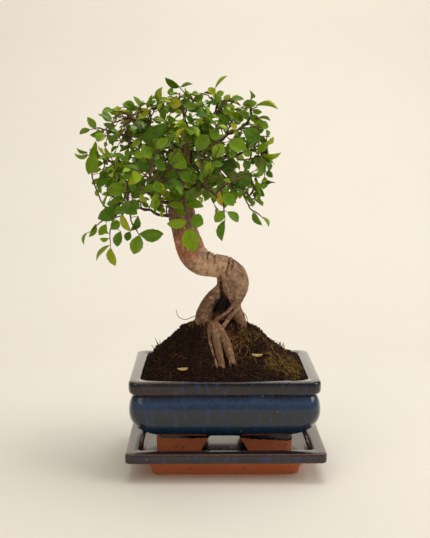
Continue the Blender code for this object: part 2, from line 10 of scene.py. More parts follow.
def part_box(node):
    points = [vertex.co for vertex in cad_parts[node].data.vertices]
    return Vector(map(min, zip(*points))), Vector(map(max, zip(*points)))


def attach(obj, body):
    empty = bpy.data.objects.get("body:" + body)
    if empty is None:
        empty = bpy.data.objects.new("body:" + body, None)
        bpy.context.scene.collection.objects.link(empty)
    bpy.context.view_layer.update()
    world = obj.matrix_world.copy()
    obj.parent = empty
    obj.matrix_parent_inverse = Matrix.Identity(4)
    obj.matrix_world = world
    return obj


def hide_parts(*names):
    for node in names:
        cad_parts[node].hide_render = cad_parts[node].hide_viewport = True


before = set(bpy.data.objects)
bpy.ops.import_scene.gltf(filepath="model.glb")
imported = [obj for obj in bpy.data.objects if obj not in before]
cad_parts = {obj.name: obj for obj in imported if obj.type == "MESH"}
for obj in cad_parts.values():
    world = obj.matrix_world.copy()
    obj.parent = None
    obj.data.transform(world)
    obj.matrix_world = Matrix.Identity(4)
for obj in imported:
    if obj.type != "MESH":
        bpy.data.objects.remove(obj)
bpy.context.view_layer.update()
mm = 0.001
print("bonsai: the frame is loaded")


def at(x, y, z):
    return Vector((x, y, z)) * mm


def colour(red, green, blue):  # from the usual 0 to 255 to the linear values a socket holds
    channels = []
    for value in (red, green, blue):
        share = value / 255
        channels.append(share / 12.92 if share <= 0.04045 else ((share + 0.055) / 1.055) ** 2.4)
    return (*channels, 1.0)


def wanderAt(place):  # a smooth push that changes from place to place
    # noise.noise_vector isn't used, because it is seeded by the clock
    return Vector([noise.noise(place + Vector((shift, -shift, shift * 0.5))) for shift in (9.3, 41.7, 77.1)])


def ease(value, low, high):
    share = min(max((value - low) / (high - low), 0.0), 1.0)
    return share * share * (3 - 2 * share)


# pieces

def newPiece(name, bm, *materials, sharpAngle=40):
    mesh = bpy.data.meshes.new(name)
    bm.to_mesh(mesh)
    bm.free()
    return placeMesh(name, mesh, *materials, sharpAngle=sharpAngle)


def placeMesh(name, mesh, *materials, sharpAngle=40):
    mesh.shade_smooth()
    mesh.set_sharp_from_angle(angle=math.radians(sharpAngle))
    mesh.materials.clear()
    for material in materials:
        mesh.materials.append(material)
    piece = bpy.data.objects.new(name, mesh)
    bpy.context.scene.collection.objects.link(piece)
    return piece


def keep(piece, slot, *nodes):
    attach(piece, "root")
    if nodes:
        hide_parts(*nodes)
    return piece


def settle(piece):  # what the modifiers make becomes the mesh
    graph = bpy.context.evaluated_depsgraph_get()
    mesh = bpy.data.meshes.new_from_object(piece.evaluated_get(graph))
    piece.modifiers.clear()
    piece.data = mesh
    return piece


def combine(piece, operation, tools):
    group = bpy.data.collections.new(piece.name + operation)
    bpy.context.scene.collection.children.link(group)
    for tool in tools:
        bpy.context.scene.collection.objects.unlink(tool)
        group.objects.link(tool)
    change = piece.modifiers.new(operation, "BOOLEAN")
    change.operation = operation
    change.operand_type = "COLLECTION"
    change.collection = group
    change.solver = "EXACT"
    bpy.context.view_layer.update()
    settle(piece)
    for tool in tools:
        bpy.data.objects.remove(tool)
    bpy.data.collections.remove(group)
    return piece


def paint(mesh, name, rule):  # one number for each point, read by the materials
    layer = mesh.attributes.new(name, "FLOAT", "POINT")
    layer.data.foreach_set("value", [rule(point) for point in mesh.vertices])


# shader building

def addNode(tree, kind, inputs=None, **settings):
    node = tree.nodes.new("ShaderNode" + kind)
    for name, value in settings.items():
        setattr(node, name, value)
    for name, value in (inputs or {}).items():
        if isinstance(value, bpy.types.NodeSocket):
            tree.links.new(value, node.inputs[name])
        else:
            node.inputs[name].default_value = value
    return node


def mixed(tree, share, first, second, blend="MIX"):
    settings = {"data_type": "RGBA", "blend_type": blend, "clamp_factor": True}
    return addNode(tree, "Mix", {0: share, 6: first, 7: second}, **settings).outputs[2]


def sums(tree, operation, first, second=0.0, clamp=False):
    return addNode(tree, "Math", {0: first, 1: second}, operation=operation, use_clamp=clamp).outputs[0]


def times(tree, first, second, clamp=False):
    return sums(tree, "MULTIPLY", first, second, clamp)


def centred(tree, value, width):  # a noise's 0 to 1, turned into a swing about 0
    return times(tree, sums(tree, "SUBTRACT", value, 0.5), width)


def mapped(tree, value, low, high, toLow=0.0, toHigh=1.0):
    inputs = {"Value": value, "From Min": low, "From Max": high, "To Min": toLow, "To Max": toHigh}
    return addNode(tree, "MapRange", inputs, interpolation_type="SMOOTHSTEP").outputs["Result"]


def ramp(tree, value, stops):
    node = addNode(tree, "ValToRGB", {"Fac": value})
    spare = node.color_ramp.elements
    while len(spare) < len(stops):
        spare.new(1.0)
    for element, (place, shade) in zip(spare, stops):
        element.position = place
        element.color = colour(*shade)
    return node.outputs["Color"]


def millimetres(tree):  # Object coordinates in millimetres
    place = addNode(tree, "TexCoord").outputs["Object"]
    return addNode(tree, "VectorMath", {0: place, "Scale": 1000.0}, operation="SCALE").outputs[0]


def stretched(tree, place, x, y, z):
    return addNode(tree, "VectorMath", {0: place, 1: (x, y, z)}, operation="MULTIPLY").outputs[0]


def grainNoise(tree, place, scale, detail=3.0, roughness=0.5, bend=0.0):
    inputs = {"Vector": place, "Scale": scale, "Detail": detail, "Roughness": roughness, "Distortion": bend}
    return addNode(tree, "TexNoise", inputs).outputs[0]


def readValue(tree, name, output="Fac"):
    return addNode(tree, "Attribute", attribute_name=name).outputs[output]


def heightOf(tree, place):
    return addNode(tree, "SeparateXYZ", {0: place}).outputs["Z"]


def bumped(tree, height, strength, distance, below=None):
    inputs = {"Height": height, "Strength": strength, "Distance": distance * mm}
    if below is not None:
        inputs["Normal"] = below
    return addNode(tree, "Bump", inputs).outputs[0]


def newGroup(name, inputs, outputs):
    group = bpy.data.node_groups.new(name, "ShaderNodeTree")
    for label, kind, value in inputs:
        socket = group.interface.new_socket(label, in_out="INPUT", socket_type="NodeSocket" + kind)
        if value is not None:
            socket.default_value = value
    for label, kind in outputs:
        group.interface.new_socket(label, in_out="OUTPUT", socket_type="NodeSocket" + kind)
    return group, group.nodes.new("NodeGroupInput").outputs, group.nodes.new("NodeGroupOutput").inputs


def useGroup(tree, group, **inputs):
    node = tree.nodes.new("ShaderNodeGroup")
    node.node_tree = group
    for name, value in inputs.items():
        if isinstance(value, bpy.types.NodeSocket):
            tree.links.new(value, node.inputs[name])
        else:
            node.inputs[name].default_value = value
    return node.outputs[0]


def mottleGroup():  # soft blotches with a hard or soft edge
    inputs = [
        ("Place", "Vector", None), ("Scale", "Float", 1.0), ("Level", "Float", 0.5), ("Edge", "Float", 0.1),
    ]
    group, given, made = newGroup("mottle", inputs, [("Mask", "Float")])
    cloud = grainNoise(group, given["Place"], given["Scale"], 4.0, 0.6, 0.4)
    low = sums(group, "SUBTRACT", given["Level"], given["Edge"])
    high = sums(group, "ADD", given["Level"], given["Edge"])
    group.links.new(mapped(group, cloud, low, high), made["Mask"])
    return group


def specksGroup():  # small separate spots, fewer as Cover falls
    inputs = [
        ("Place", "Vector", None), ("Scale", "Float", 1.0), ("Cover", "Float", 0.3), ("Size", "Float", 0.25),
    ]
    group, given, made = newGroup("specks", inputs, [("Mask", "Float")])
    cells = addNode(group, "TexVoronoi", {"Vector": given["Place"], "Scale": given["Scale"]})
    choice = addNode(group, "SeparateColor", {0: cells.outputs["Color"]}).outputs[0]
    chosen = sums(group, "LESS_THAN", choice, given["Cover"])
    inside = mapped(group, cells.outputs["Distance"], given["Size"], 0.0)
    group.links.new(sums(group, "MULTIPLY", chosen, inside), made["Mask"])
    return group


def patchGroup():  # a round area about Middle, with an uneven border
    inputs = [("Place", "Vector", None), ("Middle", "Vector", None), ("Reach", "Float", 10.0)]
    group, given, made = newGroup("patch", inputs, [("Mask", "Float")])
    cloud = grainNoise(group, given["Place"], 0.22, 3.0)
    apart = addNode(group, "VectorMath", {0: given["Place"], 1: given["Middle"]}, operation="DISTANCE")
    share = sums(group, "DIVIDE", apart.outputs["Value"], given["Reach"])
    uneven = sums(group, "ADD", share, sums(group, "MULTIPLY", sums(group, "SUBTRACT", cloud, 0.5), 1.1))
    group.links.new(mapped(group, uneven, 1.0, 0.45), made["Mask"])
    return group


mottle = mottleGroup()
specks = specksGroup()
patch = patchGroup()


def tinted(tree, body, mask, strength, *shade):  # lays a colour over the body where the mask is
    return mixed(tree, times(tree, mask, strength), body, colour(*shade))


def newMaterial(name, **settings):
    material = bpy.data.materials.new(name)
    material.use_nodes = True
    tree = material.node_tree
    shader = tree.nodes["Principled BSDF"]
    for socket, value in settings.items():
        shader.inputs[socket.replace("_", " ")].default_value = value
    return material, tree, shader.inputs


print("bonsai: shared effects are ready")


# the table, the light and the camera

studio = {
    "table": (232, 225, 212),
    "tableLight": (237, 231, 220),
    "tableHalf": 1.6,
    "sweepAt": 1.1,
    "sweepRise": 2.2,
    "sweepBend": 0.5,  # radius of the curve between the table and the wall behind it
    "stretch": 1.6,
    "world": (250, 247, 241),
    "worldStrength": 0.27,
    "lamps": {  # place, what it points at, size, power, colour
        "keyLamp": ((1.05, -0.42, 0.72), (0, 0, 0.16), 0.70, 6.7, (255, 249, 242)),
        "topLamp": ((0.15, -0.05, 1.55), (0, 0, 0.10), 1.30, 5.2, (255, 250, 243)),
        "fillLamp": ((-0.8, -1.1, 0.9), (0, 0, 0.16), 1.0, 4.8, (255, 241, 222)),
        "backLamp": ((0.1, 0.25, 1.7), (0, 1.3, 0.5), 1.0, 14.5, (250, 251, 255)),
    },
    "cameraPlace": (-0.016, -0.7873, 0.2856),
    "cameraDrop": 8.5,
    "cameraTurn": 9 / 931,  # how far the view is turned aside, as a slope
    "lensAcross": 931 / 538,  # focal length as a share of the view's height
}


def tableMaterial():
    material, tree, sockets = newMaterial("paleTable", Roughness=0.75, Specular_IOR_Level=0.2)
    place = millimetres(tree)
    cloud = grainNoise(tree, place, 0.004, 2.0)
    shade = mixed(tree, cloud, colour(*studio["table"]), colour(*studio["tableLight"]))
    tree.links.new(shade, sockets["Base Color"])
    tree.links.new(bumped(tree, grainNoise(tree, place, 1.5, 2.0), 0.03, 0.1), sockets["Normal"])
    return material


def layTable():
    bm = bmesh.new()
    bmesh.ops.create_grid(bm, x_segments=8, y_segments=96, size=studio["tableHalf"])
    start = studio["sweepAt"] * 0.5
    bend = studio["sweepBend"]
    for vert in bm.verts:
        behind = max(vert.co.y - start, 0.0)
        turn = min(behind / bend, math.pi / 2)
        if behind:
            vert.co.y = start + bend * math.sin(turn)
            risen = max(behind - bend * math.pi / 2, 0.0) * studio["sweepRise"]
            vert.co.z = bend * (1 - math.cos(turn)) + risen
        vert.co.x *= studio["stretch"]
    newPiece("table", bm, tableMaterial())


def addLamp(name, place, target, size, power, shade):
    lamp = bpy.data.lights.new(name, "AREA")
    lamp.size = size
    lamp.energy = power
    lamp.color = colour(*shade)[:3]
    holder = bpy.data.objects.new(name, lamp)
    holder.location = place
    holder.rotation_euler = (Vector(target) - Vector(place)).to_track_quat("-Z", "Y").to_euler()
    bpy.context.scene.collection.objects.link(holder)


def addCamera():
    lens = bpy.data.cameras.new("camera")
    lens.sensor_fit = "VERTICAL"
    lens.sensor_height = 36.0
    lens.lens = 36.0 * studio["lensAcross"]
    camera = bpy.data.objects.new("camera", lens)
    camera.location = studio["cameraPlace"]
    camera.rotation_euler = (math.radians(90 - studio["cameraDrop"]), 0.0, -math.atan(studio["cameraTurn"]))
    bpy.context.scene.collection.objects.link(camera)
    bpy.context.scene.camera = camera


def setStage():
    layTable()
    for name, settings in studio["lamps"].items():
        addLamp(name, *settings)
    world = bpy.data.worlds.new("room")
    world.use_nodes = True
    sky = world.node_tree.nodes["Background"].inputs
    sky["Color"].default_value = colour(*studio["world"])
    sky["Strength"].default_value = studio["worldStrength"]
    bpy.context.scene.world = world
    bpy.context.scene.view_settings.view_transform = "Standard"
    addCamera()


setStage()
print("bonsai: table, light and camera are set")


# the glazed saucer and pot: outlines are rounded rectangles, given ring by ring as the inset from
# the half sizes, the height, the corner radius and how thin the glaze has run there (0 to 1)

vessels = {
    "quarterSteps": 14,  # points round each corner
    "longestSide": 9.0,
    "sideCuts": 11,  # points added along each straight side
    "waver": 0.22,  # how far a hand-made wall wanders
    "saucerHalf": (82.5, 62.5),
    "saucer": [
        (21.6, 0.0, 5, 1), (21.0, 2.0, 5, 1), (20.4, 5.0, 5, 1), (17.8, 10.5, 5, 1), (15.2, 14.0, 5, 1),
        (11.5, 15.1, 5, 0.8), (8.2, 15.5, 4.5, 0.1), (5.0, 15.9, 4, 0), (1.4, 16.5, 4, 0.5),
        (0.35, 17.1, 4, 1), (0.0, 18.2, 4, 0.35), (0.0, 20.8, 4, 0), (0.0, 23.2, 4, 0.3),
        (0.25, 24.2, 4, 0.95), (0.7, 24.7, 4, 1), (1.6, 25.0, 3.5, 0.35), (5.5, 25.1, 3.5, 0),
        (9.4, 25.0, 3.5, 0.35), (10.3, 24.8, 3.5, 1), (10.9, 24.2, 3.5, 0.8), (11.3, 21.0, 3.8, 0.1),
        (11.5, 17.9, 4, 0), (12.3, 16.7, 4, 0), (14.5, 16.3, 4, 0), (15.3, 16.2, 4, 0), (17.5, 16.2, 4, 0),
    ],
    "saucerPocket": (5.0, 53.5, 33.5, 9.0),  # inner side, outer side, half depth and height
    "saucerLift": (10.0, 9.0, 0.8),
    "potMiddle": -0.8,
    "potHalf": (78.6, 57.6),
    "bellyRadius": 25.2,
    "bellyHeight": 57.5,
    "bellyInset": 20.4,  # where the belly's arc starts under the pot
    "bellySwell": 0.4,
    "bellySteps": 12,
    "potBase": [(29.5, 31.9, 16, 0.4), (26.0, 31.9, 17, 0.4), (22.2, 32.1, 19, 0.2)],
    "rim": [
        (-0.2, 61.5, 13, 0), (0.6, 65.5, 12, 0), (2.0, 69.0, 10, 0), (3.1, 70.5, 8, 0.2),
        (3.6, 71.3, 8, 0.1), (3.3, 72.1, 8, 0), (1.7, 72.7, 8, 0.5), (0.8, 73.4, 8, 0.9),
        (0.3, 74.4, 8, 0.5), (0.0, 76.0, 8, 0.2), (-0.1, 79.0, 8, 0.45), (0.0, 81.4, 8, 0.1),
        (0.3, 82.6, 8, 0.5), (0.9, 83.3, 7.5, 0.85), (1.8, 83.6, 7, 0.4), (5.2, 83.7, 6.5, 0),
        (8.6, 83.5, 6, 0.2), (9.6, 83.1, 6, 0.8), (10.1, 82.3, 6.5, 0.5),
    ],
    "cavity": [
        (10.3, 72.0, 7, 0.2), (10.8, 58.0, 9, 0.2), (13.0, 49.0, 11, 0.2), (17.5, 42.8, 12, 0.2),
        (22.5, 39.4, 12, 0.2), (28.0, 38.6, 12, 0.2),
    ],
    "drainHole": (30.0, 7.0),
    "foot": [(23.0, 16.6, 5, 1), (22.2, 17.4, 5.5, 1), (21.6, 23.0, 6, 1), (21.4, 33.2, 6.5, 0)],
    "footInside": [(30.1, 14.0, 3.5, 1), (30.1, 36.0, 3.5, 1)],
    "frontArch": (12.2, 22.5),  # half its width at the crown and at the bottom
    "sideArch": (14.0, 20.0),
    "archBottom": 14.3,
    "archCrown": 31.9,
    "cutEdge": 0.55,
}


def outlinePoint(angle, half, inset, corner):
    steps = vessels["quarterSteps"]
    quarter, within = divmod(angle, math.pi / 2)
    turn = (quarter + (within / (math.pi / 2) * steps - 0.5) / (steps - 1)) * math.pi / 2
    x = math.copysign(half[0] - inset - corner, math.cos((quarter + 0.5) * math.pi / 2))
    y = math.copysign(half[1] - inset - corner, math.sin((quarter + 0.5) * math.pi / 2))
    return x + corner * math.cos(turn), y + corner * math.sin(turn)


def buildVessel(half, rings, middle=0.0):
    bm = bmesh.new()
    thin = bm.verts.layers.float.new("thin")
    segments = 4 * vessels["quarterSteps"]
    halfStep = Matrix.Rotation(math.pi / segments, 4, "Z")
    bmesh.ops.create_circle(bm, cap_ends=True, segments=segments, radius=1.0, matrix=halfStep)
    cap = next(iter(bm.faces))
    angles = [math.atan2(vert.co.y, vert.co.x) % (2 * math.pi) for vert in cap.verts]
    for step, (inset, z, corner, bare) in enumerate(rings):
        if step:
            cap = bmesh.ops.extrude_discrete_faces(bm, faces=[cap])["faces"][0]
        for angle, vert in zip(angles, cap.verts):
            x, y = outlinePoint(angle, half, inset, corner)
            vert.co = at(x + middle, y, z)
            vert[thin] = bare
    bmesh.ops.holes_fill(bm, edges=bm.edges, sides=0)
    return bm


def isLongSide(edge):
    level = abs(edge.verts[0].co.z - edge.verts[1].co.z) < mm
    return level and edge.calc_length() > vessels["longestSide"] * mm


def waverWalls(bm):
    sides = [edge for edge in bm.edges if isLongSide(edge)]
    bmesh.ops.subdivide_edges(bm, edges=sides, cuts=vessels["sideCuts"], use_grid_fill=False)
    for vert in bm.verts:
        drift = wanderAt(vert.co * 22) + wanderAt(vert.co * 55) * 0.4
        drift.z *= 0.5
        vert.co += drift * vessels["waver"] * mm
        vert.co.z = max(vert.co.z, 0.0)
    bmesh.ops.recalc_face_normals(bm, faces=bm.faces)


def cutter(name, low, high, taper=(0.0, 0.0)):  # a block whose top is narrower by the taper
    bm = bmesh.new()
    bmesh.ops.create_cube(bm, size=1.0)
    for vert in bm.verts:
        share = [vert.co[axis] + 0.5 for axis in range(3)]
        spot = [low[axis] + (high[axis] - low[axis]) * share[axis] for axis in range(3)]
        for axis in (0, 1):
            spot[axis] -= math.copysign(taper[axis], vert.co[axis]) * share[2]
        vert.co = at(*spot)
    return newPiece(name, bm)


def roundedEdges(piece, width, angle=35, segments=2):
    change = piece.modifiers.new("roundedEdges", "BEVEL")
    change.width = width * mm
    change.segments = segments
    change.limit_method = "ANGLE"
    change.angle_limit = math.radians(angle)
    change.use_clamp_overlap = True
    return piece


def bellyRings():
    radius = vessels["bellyRadius"]
    start = math.asin(1 - (vessels["bellyInset"] + vessels["bellySwell"]) / radius)
    for step in range(vessels["bellySteps"] + 1):
        angle = start + (math.pi / 2 - start) * step / vessels["bellySteps"]
        inset = radius * (1 - math.sin(angle)) - vessels["bellySwell"]
        yield (inset, vessels["bellyHeight"] - radius * math.cos(angle), 13 + 0.3 * inset, 0)


def glazeMaterial(name, bands, clayBelow=None, clayEdge=2.0, lean=0.0, shine=1.0):
    # bands are (height, colour) up the side; the glaze breaks to brown where it has run thin
    material, tree, sockets = newMaterial(name, IOR=1.5, Coat_IOR=1.6, Coat_Roughness=0.04)
    place = millimetres(tree)
    height = heightOf(tree, place)
    lowest, highest = bands[0][0], bands[-1][0]
    drips = grainNoise(tree, stretched(tree, place, 1.0, 1.0, 0.10), 0.55, 3.0, 0.6)
    broad = grainNoise(tree, stretched(tree, place, 1.0, 1.0, 0.35), 0.055, 3.0, 0.55)
    drift = sums(tree, "ADD", times(tree, drips, 6.5), times(tree, broad, 9.0))
    level = sums(tree, "ADD", height, sums(tree, "SUBTRACT", drift, 7.75))
    share = sums(tree, "DIVIDE", sums(tree, "SUBTRACT", level, lowest), highest - lowest, clamp=True)
    body = ramp(tree, share, [((z - lowest) / (highest - lowest), shade) for z, shade in bands])
    streaks = mapped(tree, grainNoise(tree, stretched(tree, place, 1, 1, 0.35), 0.22, 4.0, 0.65), 0.50, 0.66)
    body = tinted(tree, body, streaks, 0.42, 36, 62, 108)
    dark = useGroup(tree, mottle, Place=place, Scale=0.09, Level=0.60, Edge=0.09)
    body = tinted(tree, body, dark, 0.35, 16, 20, 34)
    fine = grainNoise(tree, place, 2.4, 2.0)
    body = tinted(tree, body, mapped(tree, fine, 0.45, 0.75), 0.22, 48, 54, 74)
    thin = sums(tree, "ADD", readValue(tree, "thin"), centred(tree, broad, 1.3))
    thin = mapped(tree, thin, 0.35, 1.05)
    brown = mixed(tree, fine, colour(64, 38, 27), colour(104, 64, 40))
    body = mixed(tree, times(tree, thin, 0.72), body, brown)
    iron = useGroup(tree, specks, Place=place, Scale=0.33, Cover=0.10, Size=0.30)
    body = tinted(tree, body, iron, 0.7, 92, 50, 34)
    chalk = useGroup(tree, specks, Place=place, Scale=0.17, Cover=0.10, Size=0.14)
    body = tinted(tree, body, chalk, 0.85, 190, 180, 160)
    dust = mapped(tree, grainNoise(tree, place, 0.035, 4.0, 0.65), 0.42, 0.75)
    pits = useGroup(tree, specks, Place=place, Scale=0.7, Cover=0.2, Size=0.3)
    gloss = sums(tree, "ADD", 0.15, times(tree, dust, 0.12))
    gloss = sums(tree, "ADD", gloss, times(tree, thin, 0.10))
    surface = sums(tree, "SUBTRACT", sums(tree, "ADD", times(tree, drips, 0.7), broad), pits)
    normal = bumped(tree, surface, 0.35, 0.22)
    grazing = addNode(tree, "LayerWeight", {"Blend": 0.5}).outputs["Facing"]
    coat = mapped(tree, grazing, 0.30, 0.80, 0.06, shine)
    if clayBelow is not None:
        edgeNoise = grainNoise(tree, stretched(tree, place, 1, 1, 0.5), 0.085, 3.0, 0.6)
        border = sums(tree, "ADD", height, centred(tree, edgeNoise, clayEdge * 2))
        sideways = addNode(tree, "SeparateXYZ", {0: place}).outputs["X"]
        border = sums(tree, "ADD", border, times(tree, sideways, lean))
        clay = mapped(tree, border, clayBelow + 0.25, clayBelow - 0.25)
        shade, clayBump = clayColour(tree, place)
        halo = mapped(tree, border, clayBelow + 1.5, clayBelow + 0.2)
        body = tinted(tree, body, halo, 0.6, 70, 38, 28)
        body = mixed(tree, clay, body, shade)
        gloss = addNode(tree, "Mix", {0: clay, 2: gloss, 3: 0.78}).outputs[0]
        coat = times(tree, coat, sums(tree, "SUBTRACT", 1.0, clay, clamp=True))
        normal = bumped(tree, times(tree, clayBump, clay), 0.5, 0.16, normal)
    tree.links.new(coat, sockets["Coat Weight"])
    tree.links.new(body, sockets["Base Color"])
    tree.links.new(gloss, sockets["Roughness"])
    tree.links.new(normal, sockets["Normal"])
    return material


def clayColour(tree, place):  # unglazed terracotta: warm, sandy, a little scorched and dusty
    sand = grainNoise(tree, place, 1.6, 4.0, 0.65)
    cloud = grainNoise(tree, place, 0.06, 3.0, 0.6)
    shade = mixed(tree, cloud, colour(186, 94, 52), colour(210, 120, 74))
    shade = tinted(tree, shade, mapped(tree, sand, 0.5, 0.72), 0.4, 206, 136, 92)
    scorch = useGroup(tree, mottle, Place=place, Scale=0.12, Level=0.63, Edge=0.06)
    shade = tinted(tree, shade, scorch, 0.5, 112, 52, 32)
    dots = useGroup(tree, specks, Place=place, Scale=0.55, Cover=0.12, Size=0.28)
    shade = tinted(tree, shade, dots, 0.6, 84, 42, 28)
    return shade, sums(tree, "SUBTRACT", sand, times(tree, dots, 0.4))


def makeSaucer(finish):
    bm = buildVessel(vessels["saucerHalf"], vessels["saucer"])
    waverWalls(bm)
    saucer = newPiece("glazed_saucer", bm, finish, sharpAngle=50)
    near, far, deep, high = vessels["saucerPocket"]
    liftX, liftY, lift = vessels["saucerLift"]
    base = [size - vessels["saucer"][0][0] for size in vessels["saucerHalf"]]
    cutters = []
    for side in (-1, 1):
        ends = sorted((side * near, side * far))
        cutters.append(cutter("pocket", (ends[0], -deep, -2), (ends[1], deep, high), (1.0, 1.0)))
        for front in (-1, 1):
            spanX = sorted((side * (base[0] - liftX), side * (base[0] + 2)))
            spanY = sorted((front * (base[1] - liftY), front * (base[1] + 2)))
            cutters.append(cutter("lift", (spanX[0], spanY[0], -2), (spanX[1], spanY[1], lift)))
    combine(saucer, "DIFFERENCE", cutters)
    saucer.data.set_sharp_from_angle(angle=math.radians(50))
    keep(saucer, "glaze", "saucer")


def makePot(finish, footFinish):
    middle = vessels["potMiddle"]
    rings = [*vessels["potBase"], *bellyRings(), *vessels["rim"], *vessels["cavity"]]
    bm = buildVessel(vessels["potHalf"], rings, middle)
    waverWalls(bm)
    pot = newPiece("glazed_pot", bm, finish, sharpAngle=50)
    place, radius = vessels["drainHole"]
    drills = []
    for side in (-1, 1):
        hole = bmesh.new()
        spot = Matrix.Translation(at(middle + side * place, 0, 35))
        sizes = {"radius1": radius * mm, "radius2": radius * mm, "depth": 20 * mm}
        bmesh.ops.create_cone(hole, cap_ends=True, segments=32, matrix=spot, **sizes)
        drills.append(newPiece("drill", hole))
    combine(pot, "DIFFERENCE", drills)
    keep(pot, "glaze", "pot")

    foot = newPiece("clay_foot", buildVessel(vessels["potHalf"], vessels["foot"], middle), footFinish)
    bore = newPiece("bore", buildVessel(vessels["potHalf"], vessels["footInside"], middle))
    crown, spread = vessels["frontArch"]
    low, high = vessels["archBottom"], vessels["archCrown"]
    front = cutter("arch", (middle - spread, -70, low), (middle + spread, 70, high), (spread - crown, 0))
    crown, spread = vessels["sideArch"]
    side = cutter("arch", (-95, -spread, low), (95, spread, high), (0, spread - crown))
    for tool in (bore, front, side):
        combine(foot, "DIFFERENCE", [tool])
    settle(roundedEdges(foot, vessels["cutEdge"]))
    foot.data.shade_smooth()
    foot.data.set_sharp_from_angle(angle=math.radians(50))
    paint(foot.data, "thin", lambda point: 0.3)
    keep(foot, "glaze", "pot")


potBands = [
    (28, (12, 18, 26)), (35, (16, 27, 38)), (41, (18, 46, 68)), (47, (26, 44, 58)), (52, (32, 38, 42)),
    (57, (30, 38, 48)), (62, (34, 52, 78)), (66, (48, 70, 104)), (69, (34, 48, 72)), (72, (20, 22, 28)),
    (76, (30, 23, 20)), (80, (13, 13, 15)), (86, (22, 21, 23)),
]
saucerBands = [
    (12, (20, 20, 26)), (16, (34, 27, 26)), (18, (44, 29, 23)), (21, (36, 36, 52)), (23.5, (58, 37, 26)),
    (26, (36, 29, 25)),
]
makeSaucer(glazeMaterial("saucerGlaze", saucerBands, clayBelow=14.2, clayEdge=0.9, shine=0.6))
potFinish = glazeMaterial("potGlaze", potBands)
makePot(potFinish, glazeMaterial("footGlaze", potBands[:4], clayBelow=29.2, clayEdge=3.0, lean=0.03))
print("bonsai: saucer and pot are glazed")


# routes: the places (x, y, z, radius) are joined by smooth curves

def curveValue(t, a, b, c, d):  # a Catmull-Rom curve between b and c
    square = 2 * a - 5 * b + 4 * c - d
    cube = 3 * b - a - 3 * c + d
    return 0.5 * (2 * b + (c - a) * t + square * t**2 + cube * t**3)


def smoothPath(controls, step):
    padded = [controls[0], *controls, controls[-1]]
    path = []
    for index in range(1, len(padded) - 2):
        before, start, end, after = padded[index - 1:index + 3]
        count = max(1, round(math.dist(start[:3], end[:3]) / step))
        for part in range(count):
            t = part / count
            path.append([curveValue(t, *values) for values in zip(before, start, end, after)])
    path.append(list(controls[-1]))
    return path


def tubeMesh(paths, roundness):
    curve = bpy.data.curves.new("routes", "CURVE")
    curve.dimensions = "3D"
    curve.bevel_depth = mm
    curve.bevel_resolution = roundness
    curve.use_fill_caps = True
    for path in paths:
        spline = curve.splines.new("POLY")
        spline.points.add(len(path) - 1)
        for point, (x, y, z, radius) in zip(spline.points, path):
            point.co = (*at(x, y, z), 1.0)
            point.radius = radius
    holder = bpy.data.objects.new("routes", curve)
    bpy.context.scene.collection.objects.link(holder)
    graph = bpy.context.evaluated_depsgraph_get()
    mesh = bpy.data.meshes.new_from_object(holder.evaluated_get(graph))
    bpy.data.objects.remove(holder)
    bpy.data.curves.remove(curve)
    return mesh


# trunk and roots, grown together

trunkRoute = [
    (10.6, 1, 124.0, 3.2), (9.8, 0, 132.0, 3.6), (9.2, 0, 139.5, 5.4), (9.4, 0, 147.5, 9.4),
    (8.4, 0, 159.0, 11.8), (1.0, 0, 168.2, 10.4), (-8.4, 0, 170.8, 10.0), (-19.0, 0, 173.4, 10.8),
    (-27.2, 0, 181.0, 11.6), (-32.0, 0, 193.0, 11.2), (-35.6, 0, 208.0, 10.4), (-37.6, 0, 222.0, 9.6),
    (-37.0, 0, 238.0, 7.6), (-34.6, 0, 254.0, 6.0), (-31.5, 0, 268.0, 4.6), (-30.4, 1, 277.0, 3.4),
]
rootRoutes = [
    [
        (5.0, 2, 152.5, 5.0), (-3.0, 2, 150.0, 4.8), (-9.0, 1, 144.5, 5.6), (-14.2, 1, 137.5, 6.4),
        (-17.6, 1, 130.0, 6.8), (-19.2, 1, 121.0, 6.8), (-19.0, 2, 104.0, 5.6),
    ],
    [(9.4, 1, 139, 4.2), (10.8, 1, 133, 3.6), (13.0, 1, 127, 4.4), (14.2, 2, 118, 5.0), (16.0, 3, 102, 4.6)],
    [(-3.4, 1, 164, 2.4), (-4.0, 1, 156, 1.9), (-4.4, 2, 148, 2.2)],
    [(9.4, -3, 139, 1.8), (1.4, -7, 131.2, 1.4), (-7.6, -7, 125.0, 1.5), (-15.0, -4, 117, 1.8)],
    [(9.8, -3, 133, 1.9), (4.0, -8, 127.0, 1.5), (-2.2, -10, 118, 1.6), (-4.0, -9, 106, 1.8)],
    [(5.0, 6, 150, 6.0), (-0.5, 9, 142, 7.2), (-3.0, 11, 134, 7.8), (-5.0, 12, 104, 7.0)],
    [(9.0, 5, 143, 4.6), (6.8, 9, 132, 5.2), (5.8, 13, 119, 5.2), (6.0, 16, 102, 4.8)],
    [
        (-14.0, -2, 121, 3.8), (-10.4, -8, 120, 3.4), (-8.4, -15, 114.6, 3.0), (-6.2, -23, 105, 2.8),
        (-3.4, -31, 93.5, 2.1), (-1.8, -34, 88.0, 1.4),
    ],
    [
        (-9.0, -4, 121, 3.2), (-4.4, -12, 117.0, 3.3), (1.0, -20, 107.6, 3.3), (4.6, -27.5, 96.8, 3.1),
        (5.8, -30, 90.0, 2.3),
    ],
    [
        (-15.0, -5, 119.5, 1.6), (-13.8, -12.5, 115.6, 1.3), (-12.6, -20, 107.8, 1.2),
        (-9.8, -28, 98.0, 1.1), (-6.4, -35, 89.5, 1.0),
    ],
]
firstFinger = 7  # in rootRoutes, the roots from here on are the fingers in front
